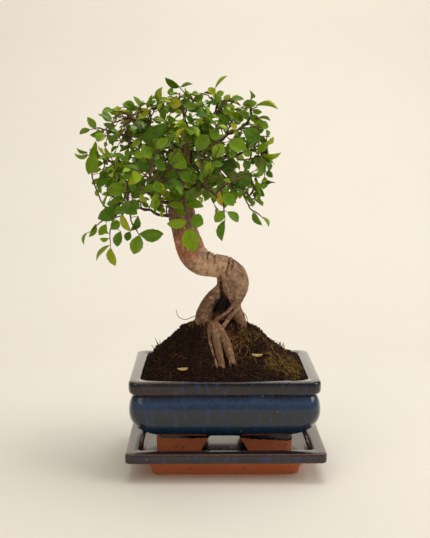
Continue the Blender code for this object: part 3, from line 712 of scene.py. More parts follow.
bark = {
    "voxel": 0.6,
    "smoothing": 5,
    "sampleStep": 1.2,
    "roughFrom": 196.0,  # above this height the bark is flaky
    "ridge": 0.75,
    "flake": 0.38,
    "flute": 0.95,
    "wrinkle": 0.30,
    "fineGrain": 0.16,
    "cuts": [  # where creases cross the trunk: x, lowest z, highest z, depth, width, lean
        (-3.2, 143.0, 162.0, 2.4, 1.2, -0.05), (-14.6, 176.0, 188.0, 1.4, 0.8, 0.12),
        (-12.4, 181.0, 188.0, 0.7, 0.6, 0.3), (-8.6, 174.5, 186.0, 1.3, 0.8, 0.10),
        (-4.2, 178.0, 184.0, 0.6, 0.6, 0.2), (2.2, 163.0, 181.0, 1.6, 0.9, 0.16),
        (6.2, 168.0, 178.0, 0.8, 0.7, 0.3),
    ],
    "cutsBefore": 9,  # behind this depth no crease is cut
}


class Grain:  # which route a place on the wood belongs to, how far along and how far round it
    def __init__(self, routes):
        self.samples = []
        for number, route in enumerate(routes):
            path = smoothPath(route, bark["sampleStep"])
            across = Vector((0, 1, 0))
            along = number * 170.0
            for index, place in enumerate(path):
                middle = Vector(place[:3])
                ahead = Vector(path[min(index + 1, len(path) - 1)][:3]) - Vector(path[max(index - 1, 0)][:3])
                ahead.normalize()
                across = (across - ahead * across.dot(ahead)).normalized()
                along += math.dist(place[:3], path[max(index - 1, 0)][:3])
                self.samples.append((middle, place[3], across.copy(), ahead.cross(across), along, number))
        self.tree = KDTree(len(self.samples))
        for index, sample in enumerate(self.samples):
            self.tree.insert(sample[0], index)
        self.tree.balance()

    def find(self, place):
        near = self.tree.find_n(place, 14)
        index = min(near, key=lambda found: found[2] - self.samples[found[1]][1])[1]
        middle, radius, across, other, along, number = self.samples[index]
        arm = place - middle
        turn = math.atan2(arm.dot(other), arm.dot(across))
        return Vector((math.cos(turn) * radius, math.sin(turn) * radius, along)), number, radius


def ridged(place):
    return 1 - 2 * abs(noise.noise(place))


def stretchedNoise(place, around, along):
    return noise.noise(Vector((place.x * around, place.y * around, place.z * along)))


def barkHeight(place, grain, number, radius):  # how far the bark stands out, and how much painted shade darkens it in a crease
    bulk = min(radius / 9.0, 1.0)
    rough = ease(place.z, bark["roughFrom"] - 10, bark["roughFrom"] + 14) if number == 0 else 0.0
    bend = (1 - rough) if number == 0 else 0.0
    wander = wanderAt(place * 0.11) * 1.6
    grain = grain + Vector((wander.x, wander.y, wander.z * 2))
    flute = stretchedNoise(grain, 0.17, 0.022) * bark["flute"] * bulk
    knots = stretchedNoise(grain, 0.10, 0.075) * 1.1 * bulk
    ridges = ridged(Vector((grain.x * 0.30, grain.y * 0.30, grain.z * 0.075))) * bark["ridge"] * rough
    flakes = ridged(Vector((grain.x * 0.62, grain.y * 0.62, grain.z * 0.36))) * bark["flake"] * rough
    leftRough = ease(-place.x, 38, 44) * ease(place.z, 186, 200)
    grit = noise.noise(place * 1.15) * (0.16 + 0.45 * leftRough)
    wrinkle = ridged(Vector((grain.x * 0.14, grain.y * 0.14, grain.z * 0.42))) * bark["wrinkle"] * bend
    depthHere = 2.4 if number > firstFinger else 1.4 if number else 0.7
    strands = ridged(Vector((grain.x * 0.55, grain.y * 0.55, grain.z * 0.05))) * 0.30 * (1 - rough)
    strands *= depthHere
    fine = stretchedNoise(grain, 1.5, 0.25) * bark["fineGrain"]
    height = flute + knots + ridges + flakes + grit + wrinkle + strands + fine
    # painted shade: grooves, cuts and the gaps between root strands get a share by which the bark colour is
    # darkened
    creaseShadeDepth = max(-(ridges + flakes) * 0.5 - 0.05, 0.0) + max(-wrinkle - 0.1, 0.0)
    creaseShadeDepth += max(-strands * 1.1 - 0.12, 0.0)
    if place.y < bark["cutsBefore"]:
        for x, low, high, depth, width, lean in bark["cuts"]:
            line = x + (place.z - (low + high) / 2) * lean + noise.noise(place * 0.25) * 1.1
            apart = (place.x - line) / width
            reach = ease(place.z, low - 2, low + 3) * ease(-place.z, -high - 3, -high + 1)
            groove = math.exp(-apart * apart) * reach * (0.65 + 0.5 * noise.noise(place * 0.5))
            height -= depth * groove
            height += 0.5 * depth * math.exp(-(abs(apart) - 1.8) ** 2) * reach * 0.6
            creaseShadeDepth += groove * 0.9
    return height, creaseShadeDepth


def barkMaterial():
    material, tree, sockets = newMaterial("bark", Specular_IOR_Level=0.35)
    place = millimetres(tree)
    grain = readValue(tree, "grain", "Vector")
    broad = grainNoise(tree, place, 0.055, 4.0, 0.6)
    streak = grainNoise(tree, stretched(tree, grain, 1.0, 1.0, 0.16), 0.55, 4.0, 0.65, 0.4)
    rings = grainNoise(tree, stretched(tree, grain, 0.30, 0.30, 1.0), 0.50, 4.0, 0.6, 0.5)
    fine = grainNoise(tree, place, 1.9, 4.0, 0.7)
    body = ramp(tree, streak, [(0.30, (88, 62, 46)), (0.50, (152, 113, 84)), (0.70, (186, 148, 116))])
    areas = [  # a tint about each of these places
        ((-37, -6, 226), 30, (128, 98, 80), 0.75), ((-33, -8, 190), 19, (192, 118, 74), 0.80),
        ((-40, -2, 205), 13, (118, 84, 66), 0.6), ((-10, -8, 174), 22, (234, 188, 150), 0.8),
        ((12, -9, 158), 19, (172, 138, 108), 0.75), ((15, -4, 140), 13, (146, 110, 82), 0.6),
        ((-16, -5, 134), 17, (118, 84, 60), 0.8), ((-4, -20, 106), 20, (138, 100, 68), 0.85),
        ((13, 0, 118), 12, (124, 90, 66), 0.6),
    ]
    for middle, reach, shade, strength in areas:
        mask = useGroup(tree, patch, Place=place, Middle=middle, Reach=float(reach))
        dark = (*[part * 0.62 for part in colour(*shade)[:3]], 1.0)
        toned = mixed(tree, streak, dark, colour(*shade))
        body = mixed(tree, times(tree, mask, strength), body, toned)
    body = tinted(tree, body, mapped(tree, rings, 0.56, 0.70), 0.55, 220, 190, 158)
    body = tinted(tree, body, mapped(tree, rings, 0.46, 0.34), 0.5, 88, 60, 46)
    blotch = useGroup(tree, mottle, Place=place, Scale=0.19, Level=0.58, Edge=0.05)
    body = tinted(tree, body, blotch, 0.50, 90, 62, 48)
    upright = stretched(tree, place, 1.0, 1.0, 0.6)
    grey = useGroup(tree, mottle, Place=upright, Scale=0.33, Level=0.62, Edge=0.05)
    body = tinted(tree, body, grey, 0.50, 216, 190, 164)
    pale = useGroup(tree, specks, Place=place, Scale=0.38, Cover=0.16, Size=0.26)
    body = tinted(tree, body, pale, 0.35, 216, 196, 170)
    dots = useGroup(tree, specks, Place=place, Scale=0.8, Cover=0.2, Size=0.3)
    body = tinted(tree, body, dots, 0.5, 58, 40, 32)
    # painted shade: the bark colour is darkened in its creases
    paintedCreaseShade = times(tree, readValue(tree, "creaseShadeDepth"), 1.35, clamp=True)
    body = mixed(tree, paintedCreaseShade, body, colour(48, 30, 21))
    body = tinted(tree, body, mapped(tree, fine, 0.42, 0.3), 0.5, 60, 42, 34)
    # painted shade: the wood in the hollow behind the roots is tinted near-black, where shade falls
    paintedShadeBehindRoots = useGroup(tree, patch, Place=place, Middle=(-2.5, 4, 137), Reach=15.0)
    body = tinted(tree, body, paintedShadeBehindRoots, 0.95, 18, 11, 8)
    tree.links.new(body, sockets["Base Color"])
    tree.links.new(mapped(tree, broad, 0.3, 0.7, 0.58, 0.82), sockets["Roughness"])
    surface = sums(tree, "ADD", times(tree, fine, 0.8), sums(tree, "ADD", streak, times(tree, rings, 0.8)))
    tree.links.new(bumped(tree, surface, 0.9, 0.42), sockets["Normal"])
    return material


def growTrunk():
    routes = [trunkRoute, *rootRoutes]
    paths = [smoothPath(route, 2.5) for route in routes]
    trunk = placeMesh("trunk_and_roots", tubeMesh(paths, 4), barkMaterial(), sharpAngle=180)
    join = trunk.modifiers.new("growTogether", "REMESH")
    join.mode = "VOXEL"
    join.voxel_size = bark["voxel"] * mm
    soften = trunk.modifiers.new("soften", "SMOOTH")
    soften.iterations = bark["smoothing"]
    bpy.context.view_layer.update()
    settle(trunk)
    mesh = trunk.data
    wood = Grain(routes)
    directions = []
    creaseShadeDepths = []
    moves = []
    for vert in mesh.vertices:
        place = vert.co / mm
        grain, number, radius = wood.find(place)
        height, creaseShadeDepth = barkHeight(place, grain, number, radius)
        directions.extend(grain)
        creaseShadeDepths.append(min(creaseShadeDepth, 1.0))
        moves.append(vert.normal * height * mm)
    for vert, move in zip(mesh.vertices, moves):
        vert.co += move
    mesh.attributes.new("grain", "FLOAT_VECTOR", "POINT").data.foreach_set("vector", directions)
    mesh.attributes.new("creaseShadeDepth", "FLOAT", "POINT").data.foreach_set("value", creaseShadeDepths)
    mesh.shade_smooth()
    return keep(trunk, "bark", "trunk")


growTrunk()
print("bonsai: trunk and roots are grown")


# the soil heaped in the pot, with what lies in and on it

soil = {
    "half": (78.6, 57.6),
    "wall": 10.2,  # from the pot's outside to the soil
    "edge": 82.3,
    "shoulder": 4.0,
    "shoulderWidth": 10.0,
    "mound": 35.5,
    "moundMiddle": (-5.5, 8.0),
    "moundReach": (14.0, 76.0),
    "moundOval": 1.2,
    "cells": (150, 116),
    "corner": 6.0,
    "bottom": 40.2,
    "lumps": 2.3,
    "valleySlope": 0.55,  # how steeply the soil falls to the root fingers in front
    "grit": 1.5,
    "crumbs": 3600,
    "fibres": 430,
    "fibreReach": (66.5, 45.5),  # fibres stay this near the middle of the pot
    "tuftFibres": 46,
    "hangingRoots": 34,
    "blades": 760,
    "bladeReach": (65, 44),
    "sprigs": [(-57, 45, 15.0), (-53, 44, 12.0), (48, 45, 14.0), (52, 44, 12.0)],  # x, y and height
    "sprigStems": 14,
}
rim = Vector((vessels["potMiddle"], 0.0))


def fingerPlaces():
    places = [place for route in rootRoutes[firstFinger:] for place in smoothPath(route, 2.0)]
    tree = KDTree(len(places))
    for index, place in enumerate(places):
        tree.insert((place[0], place[1], 0), index)
    tree.balance()
    return places, tree


fingers, fingerTree = fingerPlaces()


def soilHeight(x, y):
    fromWall = min(soil["half"][0] - soil["wall"] - abs(x - rim.x), soil["half"][1] - soil["wall"] - abs(y))
    heaped = ease(fromWall, 0, soil["shoulderWidth"])
    reach = math.hypot(x - soil["moundMiddle"][0], (y - soil["moundMiddle"][1]) * soil["moundOval"])
    mound = soil["mound"] * (1 - ease(reach, *soil["moundReach"]))
    place = Vector((x, y, 3.0))
    grit = noise.noise(place * 0.5) * 0.5 * soil["grit"]
    lumps = noise.fractal(place * 0.075, 0.9, 2.1, 4) * soil["lumps"] + grit
    level = soil["edge"] + (soil["shoulder"] + mound + lumps) * heaped - 0.4 * (1 - heaped)
    index, apart = fingerTree.find((x, y, 0))[1:]
    place = fingers[index]
    clear = place[2] - place[3] * 0.35 + max(apart - place[3], 0) * soil["valleySlope"] + lumps * 0.3
    return min(level, max(clear, soil["edge"] + heaped * 2.0))


def soilMaterial(name, shades, moss):
    material, tree, sockets = newMaterial(name, Specular_IOR_Level=0.15)
    place = millimetres(tree)
    grit = grainNoise(tree, place, 0.85, 5.0, 0.72)
    cloud = grainNoise(tree, place, 0.06, 3.0, 0.6)
    body = ramp(tree, grit, [(0.34, shades[0]), (0.52, shades[1]), (0.70, shades[2])])
    body = tinted(tree, body, mapped(tree, cloud, 0.45, 0.65), 0.5, *shades[3])
    bits = useGroup(tree, specks, Place=place, Scale=0.9, Cover=0.16, Size=0.3)
    body = mixed(tree, bits, body, colour(182, 138, 90))
    for middle, reach in moss:
        mask = useGroup(tree, patch, Place=place, Middle=middle, Reach=float(reach))
        tufts = useGroup(tree, mottle, Place=place, Scale=0.24, Level=0.50, Edge=0.07)
        tone = mixed(tree, grit, colour(62, 46, 16), colour(150, 122, 58))
        body = mixed(tree, times(tree, times(tree, mask, tufts), 0.85), body, tone)
    tree.links.new(body, sockets["Base Color"])
    sockets["Roughness"].default_value = 0.92
    tree.links.new(bumped(tree, grit, 0.9, 0.8), sockets["Normal"])
    return material


def heapSoil(finish):
    bm = bmesh.new()
    cellsX, cellsY = soil["cells"]
    bmesh.ops.create_grid(bm, x_segments=cellsX, y_segments=cellsY, size=1.0)
    half = [soil["half"][axis] - soil["wall"] - 0.15 for axis in (0, 1)]
    for vert in bm.verts:
        x = vert.co.x * half[0]
        y = vert.co.y * half[1]
        inX, inY = half[0] - soil["corner"], half[1] - soil["corner"]
        if abs(x) > inX and abs(y) > inY:  # the corners are drawn in to the pot's round ones
            over = Vector((abs(x) - inX, abs(y) - inY))
            square = max(over) / max(over.length, 1e-6)
            over *= square
            x = math.copysign(inX + over.x, x)
            y = math.copysign(inY + over.y, y)
        spread = wanderAt(Vector((x, y, 0)) * 0.4) * 0.5
        edge = ease(min(half[0] - abs(x), half[1] - abs(y)), 0, 4)
        x += rim.x + spread.x * edge
        y += spread.y * edge
        vert.co = at(x, y, soilHeight(x, y))
    border = [edge for edge in bm.edges if edge.is_boundary]
    skirt = bmesh.ops.extrude_edge_only(bm, edges=border)["geom"]
    below = [item for item in skirt if isinstance(item, bmesh.types.BMVert)]
    shelf = [(72.0, 1.0), (58.0, 0.992), (49.0, 0.955), (soil["bottom"], 0.78)]
    for step, (z, share) in enumerate(shelf):
        if step:
            ring = [edge for edge in bm.edges if edge.is_boundary]
            made = bmesh.ops.extrude_edge_only(bm, edges=ring)["geom"]
            below = [item for item in made if isinstance(item, bmesh.types.BMVert)]
        factor = share / (shelf[step - 1][1] if step else 1.0)
        for vert in below:
            vert.co.x = rim.x * mm + (vert.co.x - rim.x * mm) * factor
            vert.co.y *= factor
            vert.co.z = z * mm
    bmesh.ops.holes_fill(bm, edges=[edge for edge in bm.edges if edge.is_boundary], sides=0)
    bmesh.ops.recalc_face_normals(bm, faces=bm.faces)
    return keep(newPiece("soil_heap", bm, finish, sharpAngle=70), "soil", "soil")


def onSoil(rng, inset=2.0):
    x = rim.x + rng.uniform(-1, 1) * (soil["half"][0] - soil["wall"] - inset)
    y = rng.uniform(-1, 1) * (soil["half"][1] - soil["wall"] - inset)
    return x, y


def scatterCrumbs(finish):
    rng = random.Random(11)
    grain = bmesh.new()
    bmesh.ops.create_icosphere(grain, subdivisions=1, radius=mm)
    for vert in grain.verts:
        vert.co *= 1 + 0.35 * noise.noise(vert.co * 1700)
    pattern = bpy.data.meshes.new("crumb")
    grain.to_mesh(pattern)
    grain.free()
    bm = bmesh.new()
    for count in range(soil["crumbs"]):
        x, y = onSoil(rng, 2.2)
        size = 0.45 + 1.15 * rng.random() ** 3
        first = len(bm.verts)
        bm.from_mesh(pattern)
        bm.verts.ensure_lookup_table()
        shape = Matrix.Diagonal((size * rng.uniform(0.7, 1.5), size, size * rng.uniform(0.5, 1.0), 1.0))
        turn = Matrix.Rotation(rng.uniform(0, 6.28), 4, "Z")
        turn = turn @ Matrix.Rotation(rng.uniform(-0.9, 0.9), 4, "X")
        place = Matrix.Translation(at(x, y, soilHeight(x, y) + size * 0.25))
        bmesh.ops.transform(bm, matrix=place @ turn @ shape, verts=bm.verts[first:])
    return keep(newPiece("soil_crumbs", bm, finish, sharpAngle=50), "soil")


def fibre(rng, x, y, length, lift, radius, curl=1.0):  # a bent thread lying over the soil
    heading = rng.uniform(0, 2 * math.pi)
    path = []
    steps = 6
    for step in range(steps + 1):
        share = step / steps
        z = soilHeight(x, y) + 0.2 + lift * math.sin(math.pi * share) * rng.uniform(0.6, 1.2)
        path.append((x, y, z, radius * (1.0 - 0.5 * share)))
        heading += rng.uniform(-0.6, 0.6) * curl
        x += math.cos(heading) * length / steps
        y += math.sin(heading) * length / steps
        reachX, reachY = soil["fibreReach"]
        x = min(max(x, rim.x - reachX), rim.x + reachX)
        y = min(max(y, -reachY), reachY)
    return path


def simpleFinish(name, first, second, third, roughness=0.8):
    material, tree, sockets = newMaterial(name, Roughness=roughness, Specular_IOR_Level=0.25)
    place = millimetres(tree)
    cloud = grainNoise(tree, place, 0.35, 4.0, 0.6)
    body = ramp(tree, cloud, [(0.34, first), (0.50, second), (0.66, third)])
    tree.links.new(body, sockets["Base Color"])
    tree.links.new(bumped(tree, grainNoise(tree, place, 3.0, 3.0), 0.5, 0.15), sockets["Normal"])
    return material


hairRoots = [  # thin roots that curl free of the soil
    [
        (-20, -3, 127.4, 0.34), (-25.3, -4, 128.0, 0.30), (-33.7, -6, 125.2, 0.26), (-40.0, -6, 128.0, 0.24),
        (-41.6, -6, 133.6, 0.18),
    ],
    [(13.0, 1, 131.5, 0.32), (17.6, 0, 128.4, 0.30), (19.4, -1, 123.6, 0.26), (18.4, -2, 116.0, 0.22)],
    [(-24.0, -2, 118.0, 0.3), (-31.0, -4, 116.0, 0.26), (-36.0, -5, 112.0, 0.22)],
]


def scatterFibres():
    rng = random.Random(12)
    brown, orange = [], []
    for count in range(soil["fibres"]):
        x, y = onSoil(rng, 4)
        path = fibre(rng, x, y, rng.uniform(3, 11), rng.uniform(0.2, 1.6), rng.uniform(0.10, 0.22))
        (orange if rng.random() < 0.16 else brown).append(path)
    for count in range(soil["tuftFibres"]):  # a tuft of orange threads spills from between the roots
        x = rng.uniform(5, 17)
        y = rng.uniform(-26, -13)
        orange.append(fibre(rng, x, y, rng.uniform(6, 14), rng.uniform(0.6, 2.4), rng.uniform(0.16, 0.3)))
    for route in hairRoots:
        brown.append(smoothPath(route, 1.6))
    for count in range(soil["hangingRoots"]):  # fine roots hang from the foot of the trunk
        x = rng.uniform(-22, 14)
        y = rng.uniform(-10, -5)
        drop = rng.uniform(6, 18)
        aside = rng.uniform(-5, 5)
        routes = [(x, y + 3, rng.uniform(118, 127), 0.34)]
        for share in (0.35, 0.7, 1.0):
            footX = x + aside * share + rng.uniform(-1, 1)
            footY = y - drop * share * 0.8
            height = soilHeight(footX, footY) + rng.uniform(0.2, 1.6) * (1.3 - share)
            routes.append((footX, footY, height, 0.30 - 0.14 * share))
        (orange if rng.random() < 0.4 else brown).append(smoothPath(routes, 2.0))
    dark = simpleFinish("darkFibre", (34, 20, 12), (60, 36, 22), (100, 64, 40))
    bright = simpleFinish("orangeFibre", (78, 48, 28), (120, 82, 48), (168, 126, 84))
    for name, paths, finish in (("dark_fibres", brown, dark), ("orange_fibres", orange, bright)):
        keep(placeMesh(name, tubeMesh(paths, 0), finish), "soil")


def growMoss():
    rng = random.Random(13)
    blades = []
    middles = [
        (52, -20, 9), (61, -6, 7), (36, -6, 8), (57, -36, 6), (19, -16, 6), (48, 14, 9),
        (42, -30, 5), (26, -6, 6), (16, -8, 5), (-26, 0, 6), (30, 20, 8),
    ]
    reachX, reachY = soil["bladeReach"]
    for count in range(soil["blades"]):
        middleX, middleY, reach = rng.choice(middles)
        x = min(rng.gauss(middleX, reach * 0.5), rim.x + reachX)
        y = min(max(rng.gauss(middleY, reach * 0.5), -reachY), reachY)
        z = soilHeight(x, y)
        tall = rng.uniform(0.8, 2.6)
        lean = Vector((rng.uniform(-1, 1), rng.uniform(-1, 1), 0)) * tall * 0.6
        blades.append([
            (x, y, z - 0.3, 0.26), (x + lean.x * 0.4, y + lean.y * 0.4, z + tall * 0.6, 0.2),
            (x + lean.x, y + lean.y, z + tall, 0.08),
        ])
    finish = simpleFinish("moss", (66, 52, 20), (122, 96, 40), (172, 138, 72))
    keep(placeMesh("moss", tubeMesh(blades, 0), finish), "soil")
    sprigs = []
    for x, y, tall in soil["sprigs"]:  # dry sprigs stand at the far corners
        base = soilHeight(x, y)
        for count in range(soil["sprigStems"]):
            lean = Vector((rng.uniform(-1, 1), rng.uniform(-0.6, 0.2))) * tall * 0.55
            height = tall * rng.uniform(0.45, 1.0)
            start = (x + rng.uniform(-2.4, 2.4), y + rng.uniform(-1, 1))
            sprigs.append([
                (*start, base - 0.5, 0.50),
                (start[0] + lean.x * 0.5, start[1] + lean.y * 0.5, base + height * 0.5, 0.42),
                (start[0] + lean.x, start[1] + lean.y, base + height, 0.20),
            ])
    dry = simpleFinish("drySprig", (52, 36, 24), (84, 62, 40), (120, 96, 64))
    keep(placeMesh("dry_sprigs", tubeMesh(sprigs, 1), dry), "soil")


chips = {
    "size": (9.0, 3.6, 1.4),
    "turned": {"bark_chip_front": 20, "bark_chip_right": -4},  # degrees
}


def layChips():
    material, tree, sockets = newMaterial("chipWood", Roughness=0.7)
    place = millimetres(tree)
    lines = grainNoise(tree, stretched(tree, place, 0.3, 1.6, 1.6), 1.1, 4.0, 0.6)
    body = ramp(tree, lines, [(0.3, (150, 108, 58)), (0.5, (206, 170, 104)), (0.7, (228, 204, 150))])
    tree.links.new(body, sockets["Base Color"])
    tree.links.new(bumped(tree, lines, 0.7, 0.25), sockets["Normal"])
    for name, degrees in chips["turned"].items():
        low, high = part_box(name)
        middle = (Vector(low) + Vector(high)) / 2
        bm = bmesh.new()
        bmesh.ops.create_cube(bm, size=1.0)
        bmesh.ops.subdivide_edges(bm, edges=bm.edges, cuts=5, use_grid_fill=True)
        length, width, thick = chips["size"]
        for vert in bm.verts:
            share = vert.co.x * 2
            taper = 1 - 0.55 * abs(share) ** 2.2
            z = vert.co.z * thick * taper + 0.9 * share * share - 0.3
            vert.co = at(vert.co.x * length, vert.co.y * width * taper, z)
            vert.co += wanderAt(vert.co * 500) * 0.35 * mm
        turn = Matrix.Rotation(math.radians(degrees), 4, "Z")
        bmesh.ops.transform(bm, matrix=Matrix.Translation(middle) @ turn, verts=bm.verts)
        keep(newPiece("chip_" + name.split("_")[-1], bm, material, sharpAngle=35), "chip", name)


def finishDrainMeshes():
    material, tree, sockets = newMaterial("drainPlastic", Specular_IOR_Level=0.4)
    place = millimetres(tree)
    cloud = grainNoise(tree, place, 0.2, 3.0)
    soilDust = mapped(tree, cloud, 0.42, 0.62)
    body = mixed(tree, times(tree, soilDust, 0.5), colour(26, 27, 28), colour(88, 66, 48))
    tree.links.new(body, sockets["Base Color"])
    tree.links.new(mapped(tree, soilDust, 0.0, 1.0, 0.38, 0.8), sockets["Roughness"])
    tree.links.new(bumped(tree, grainNoise(tree, place, 1.4, 3.0), 0.4, 0.1), sockets["Normal"])
    for name in ("drain_mesh_left", "drain_mesh_right"):
        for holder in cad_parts[name].material_slots:
            holder.material = material


soilMoss = [((48, -22, 88), 22), ((60, 0, 86), 15), ((36, -6, 92), 12), ((56, -36, 86), 10)]
earth = soilMaterial("earth", [(15, 8, 5), (36, 20, 12), (66, 40, 24), (26, 15, 10)], soilMoss)
heapSoil(earth)
scatterCrumbs(soilMaterial("crumbEarth", [(20, 11, 7), (46, 26, 16), (92, 58, 36), (34, 20, 12)], soilMoss))
scatterFibres()
growMoss()
layChips()
finishDrainMeshes()
print("bonsai: soil is heaped and dressed")


# branches and twigs, then the leaves on them

branchRoutes = {
    "low_left": [
        (-33, 0, 212), (-50, 2, 213.6), (-59, 4, 216), (-71, 6, 219), (-80, 2, 222.6), (-89, -4, 224),
    ],
    "mid_left": [(-35, 0, 225), (-55, -4, 226), (-63, -9, 232), (-75, -14, 241), (-88, -16, 245.5)],
    "far_left": [(-34, 3, 243), (-53, 6, 248.6), (-70, 10, 254), (-87, 10, 258.6), (-102, 6, 260.5)],
    "upper_left": [
        (-33, 2, 258), (-51, 9, 267), (-65, 14, 270), (-79, 16, 275), (-88, 16, 281), (-99, 16, 284.5),
    ],
    "top_left": [(-32, -1, 266), (-45, -7, 275), (-56, -9, 285), (-66, -9, 291), (-77, -6, 294.5)],
    "top": [(-30.6, 1, 272), (-32, 4, 290), (-36, 6, 302), (-38.5, 6, 311)],
    "top_right": [(-31, 0, 268), (-19, -2, 284), (-10, -3, 297), (-5, -4, 309)],
    "right_high": [(-32, 2, 263), (-8, 8, 274.6), (8, 11, 284), (20, 10, 292), (22, 10, 304)],
    "right": [(-34, 1, 253), (-9, 4, 260), (10, 6, 265), (26, 6, 268.6), (37, 6, 267)],
    "right_low": [(-36, 2, 243), (-14, 7, 242.6), (1, 8, 241), (15.6, 8, 235), (23, 6, 225)],
    "front_right": [(-36, -2, 236), (-25, -24, 241), (-16, -38, 239.5), (-7, -44, 232.6)],
    "front_left": [(-37, -3, 241), (-47, -26, 245), (-54, -42, 247), (-61.6, -52, 248)],
    "back_left": [(-36, 3, 246), (-51, 30, 250), (-64, 50, 255.4)],
    "back_right": [(-36, 3, 249), (-15, 30, 255.3), (-2, 48, 261)],
}
twigs = {
    "collar": 2.1,
    "end": 0.8,
    "flare": 1.2,
    "wander": 0.9,
    "shoot": 0.62,
    "shootEnd": 0.32,
    "stalk": 0.26,
    "zigzag": 0.45,
}
crown = {
    "middle": Vector((-38.0, 0.0, 262.0)),
    "extraShoots": 228,
    "longestShoot": 34.0,
    "outline": [  # the leaf mass seen from the front: x, z
        (-105, 300), (-80, 304), (-55, 312), (-25, 317), (-2, 315), (27, 309), (36, 290), (38, 269),
        (36, 248), (28, 226), (16, 232), (0, 226), (-17, 219), (-46, 222), (-71, 219), (-98, 224),
        (-108, 236), (-112, 262), (-108, 284),
    ],
    "depth": 58.0,
    "spanX": (-112, 38),
    "spanZ": (219, 317),
    "dome": (80, 75),
    "frontShare": 0.16,  # of the extra shoots, those that cover the trunk from the front
    "frontLow": (-62, -34, 226),
    "frontHigh": (-16, -10, 270),
}
leaf = {
    "rows": 9,
    "variants": 6,
    "thickness": 0.028,
    "length": 11.2,
    "width": 0.62,  # as a share of the length
    "spacing": 3.8,
    "angle": 54.0,
    "widestInside": 11.0,  # leaves set one by one are no wider than this above that height
    "insideAbove": 222.0,
    "clearance": 1.2,  # other leaves keep this far from a leaf set one by one, unless they are
    "behind": 2.0,  # at least this far behind it
}

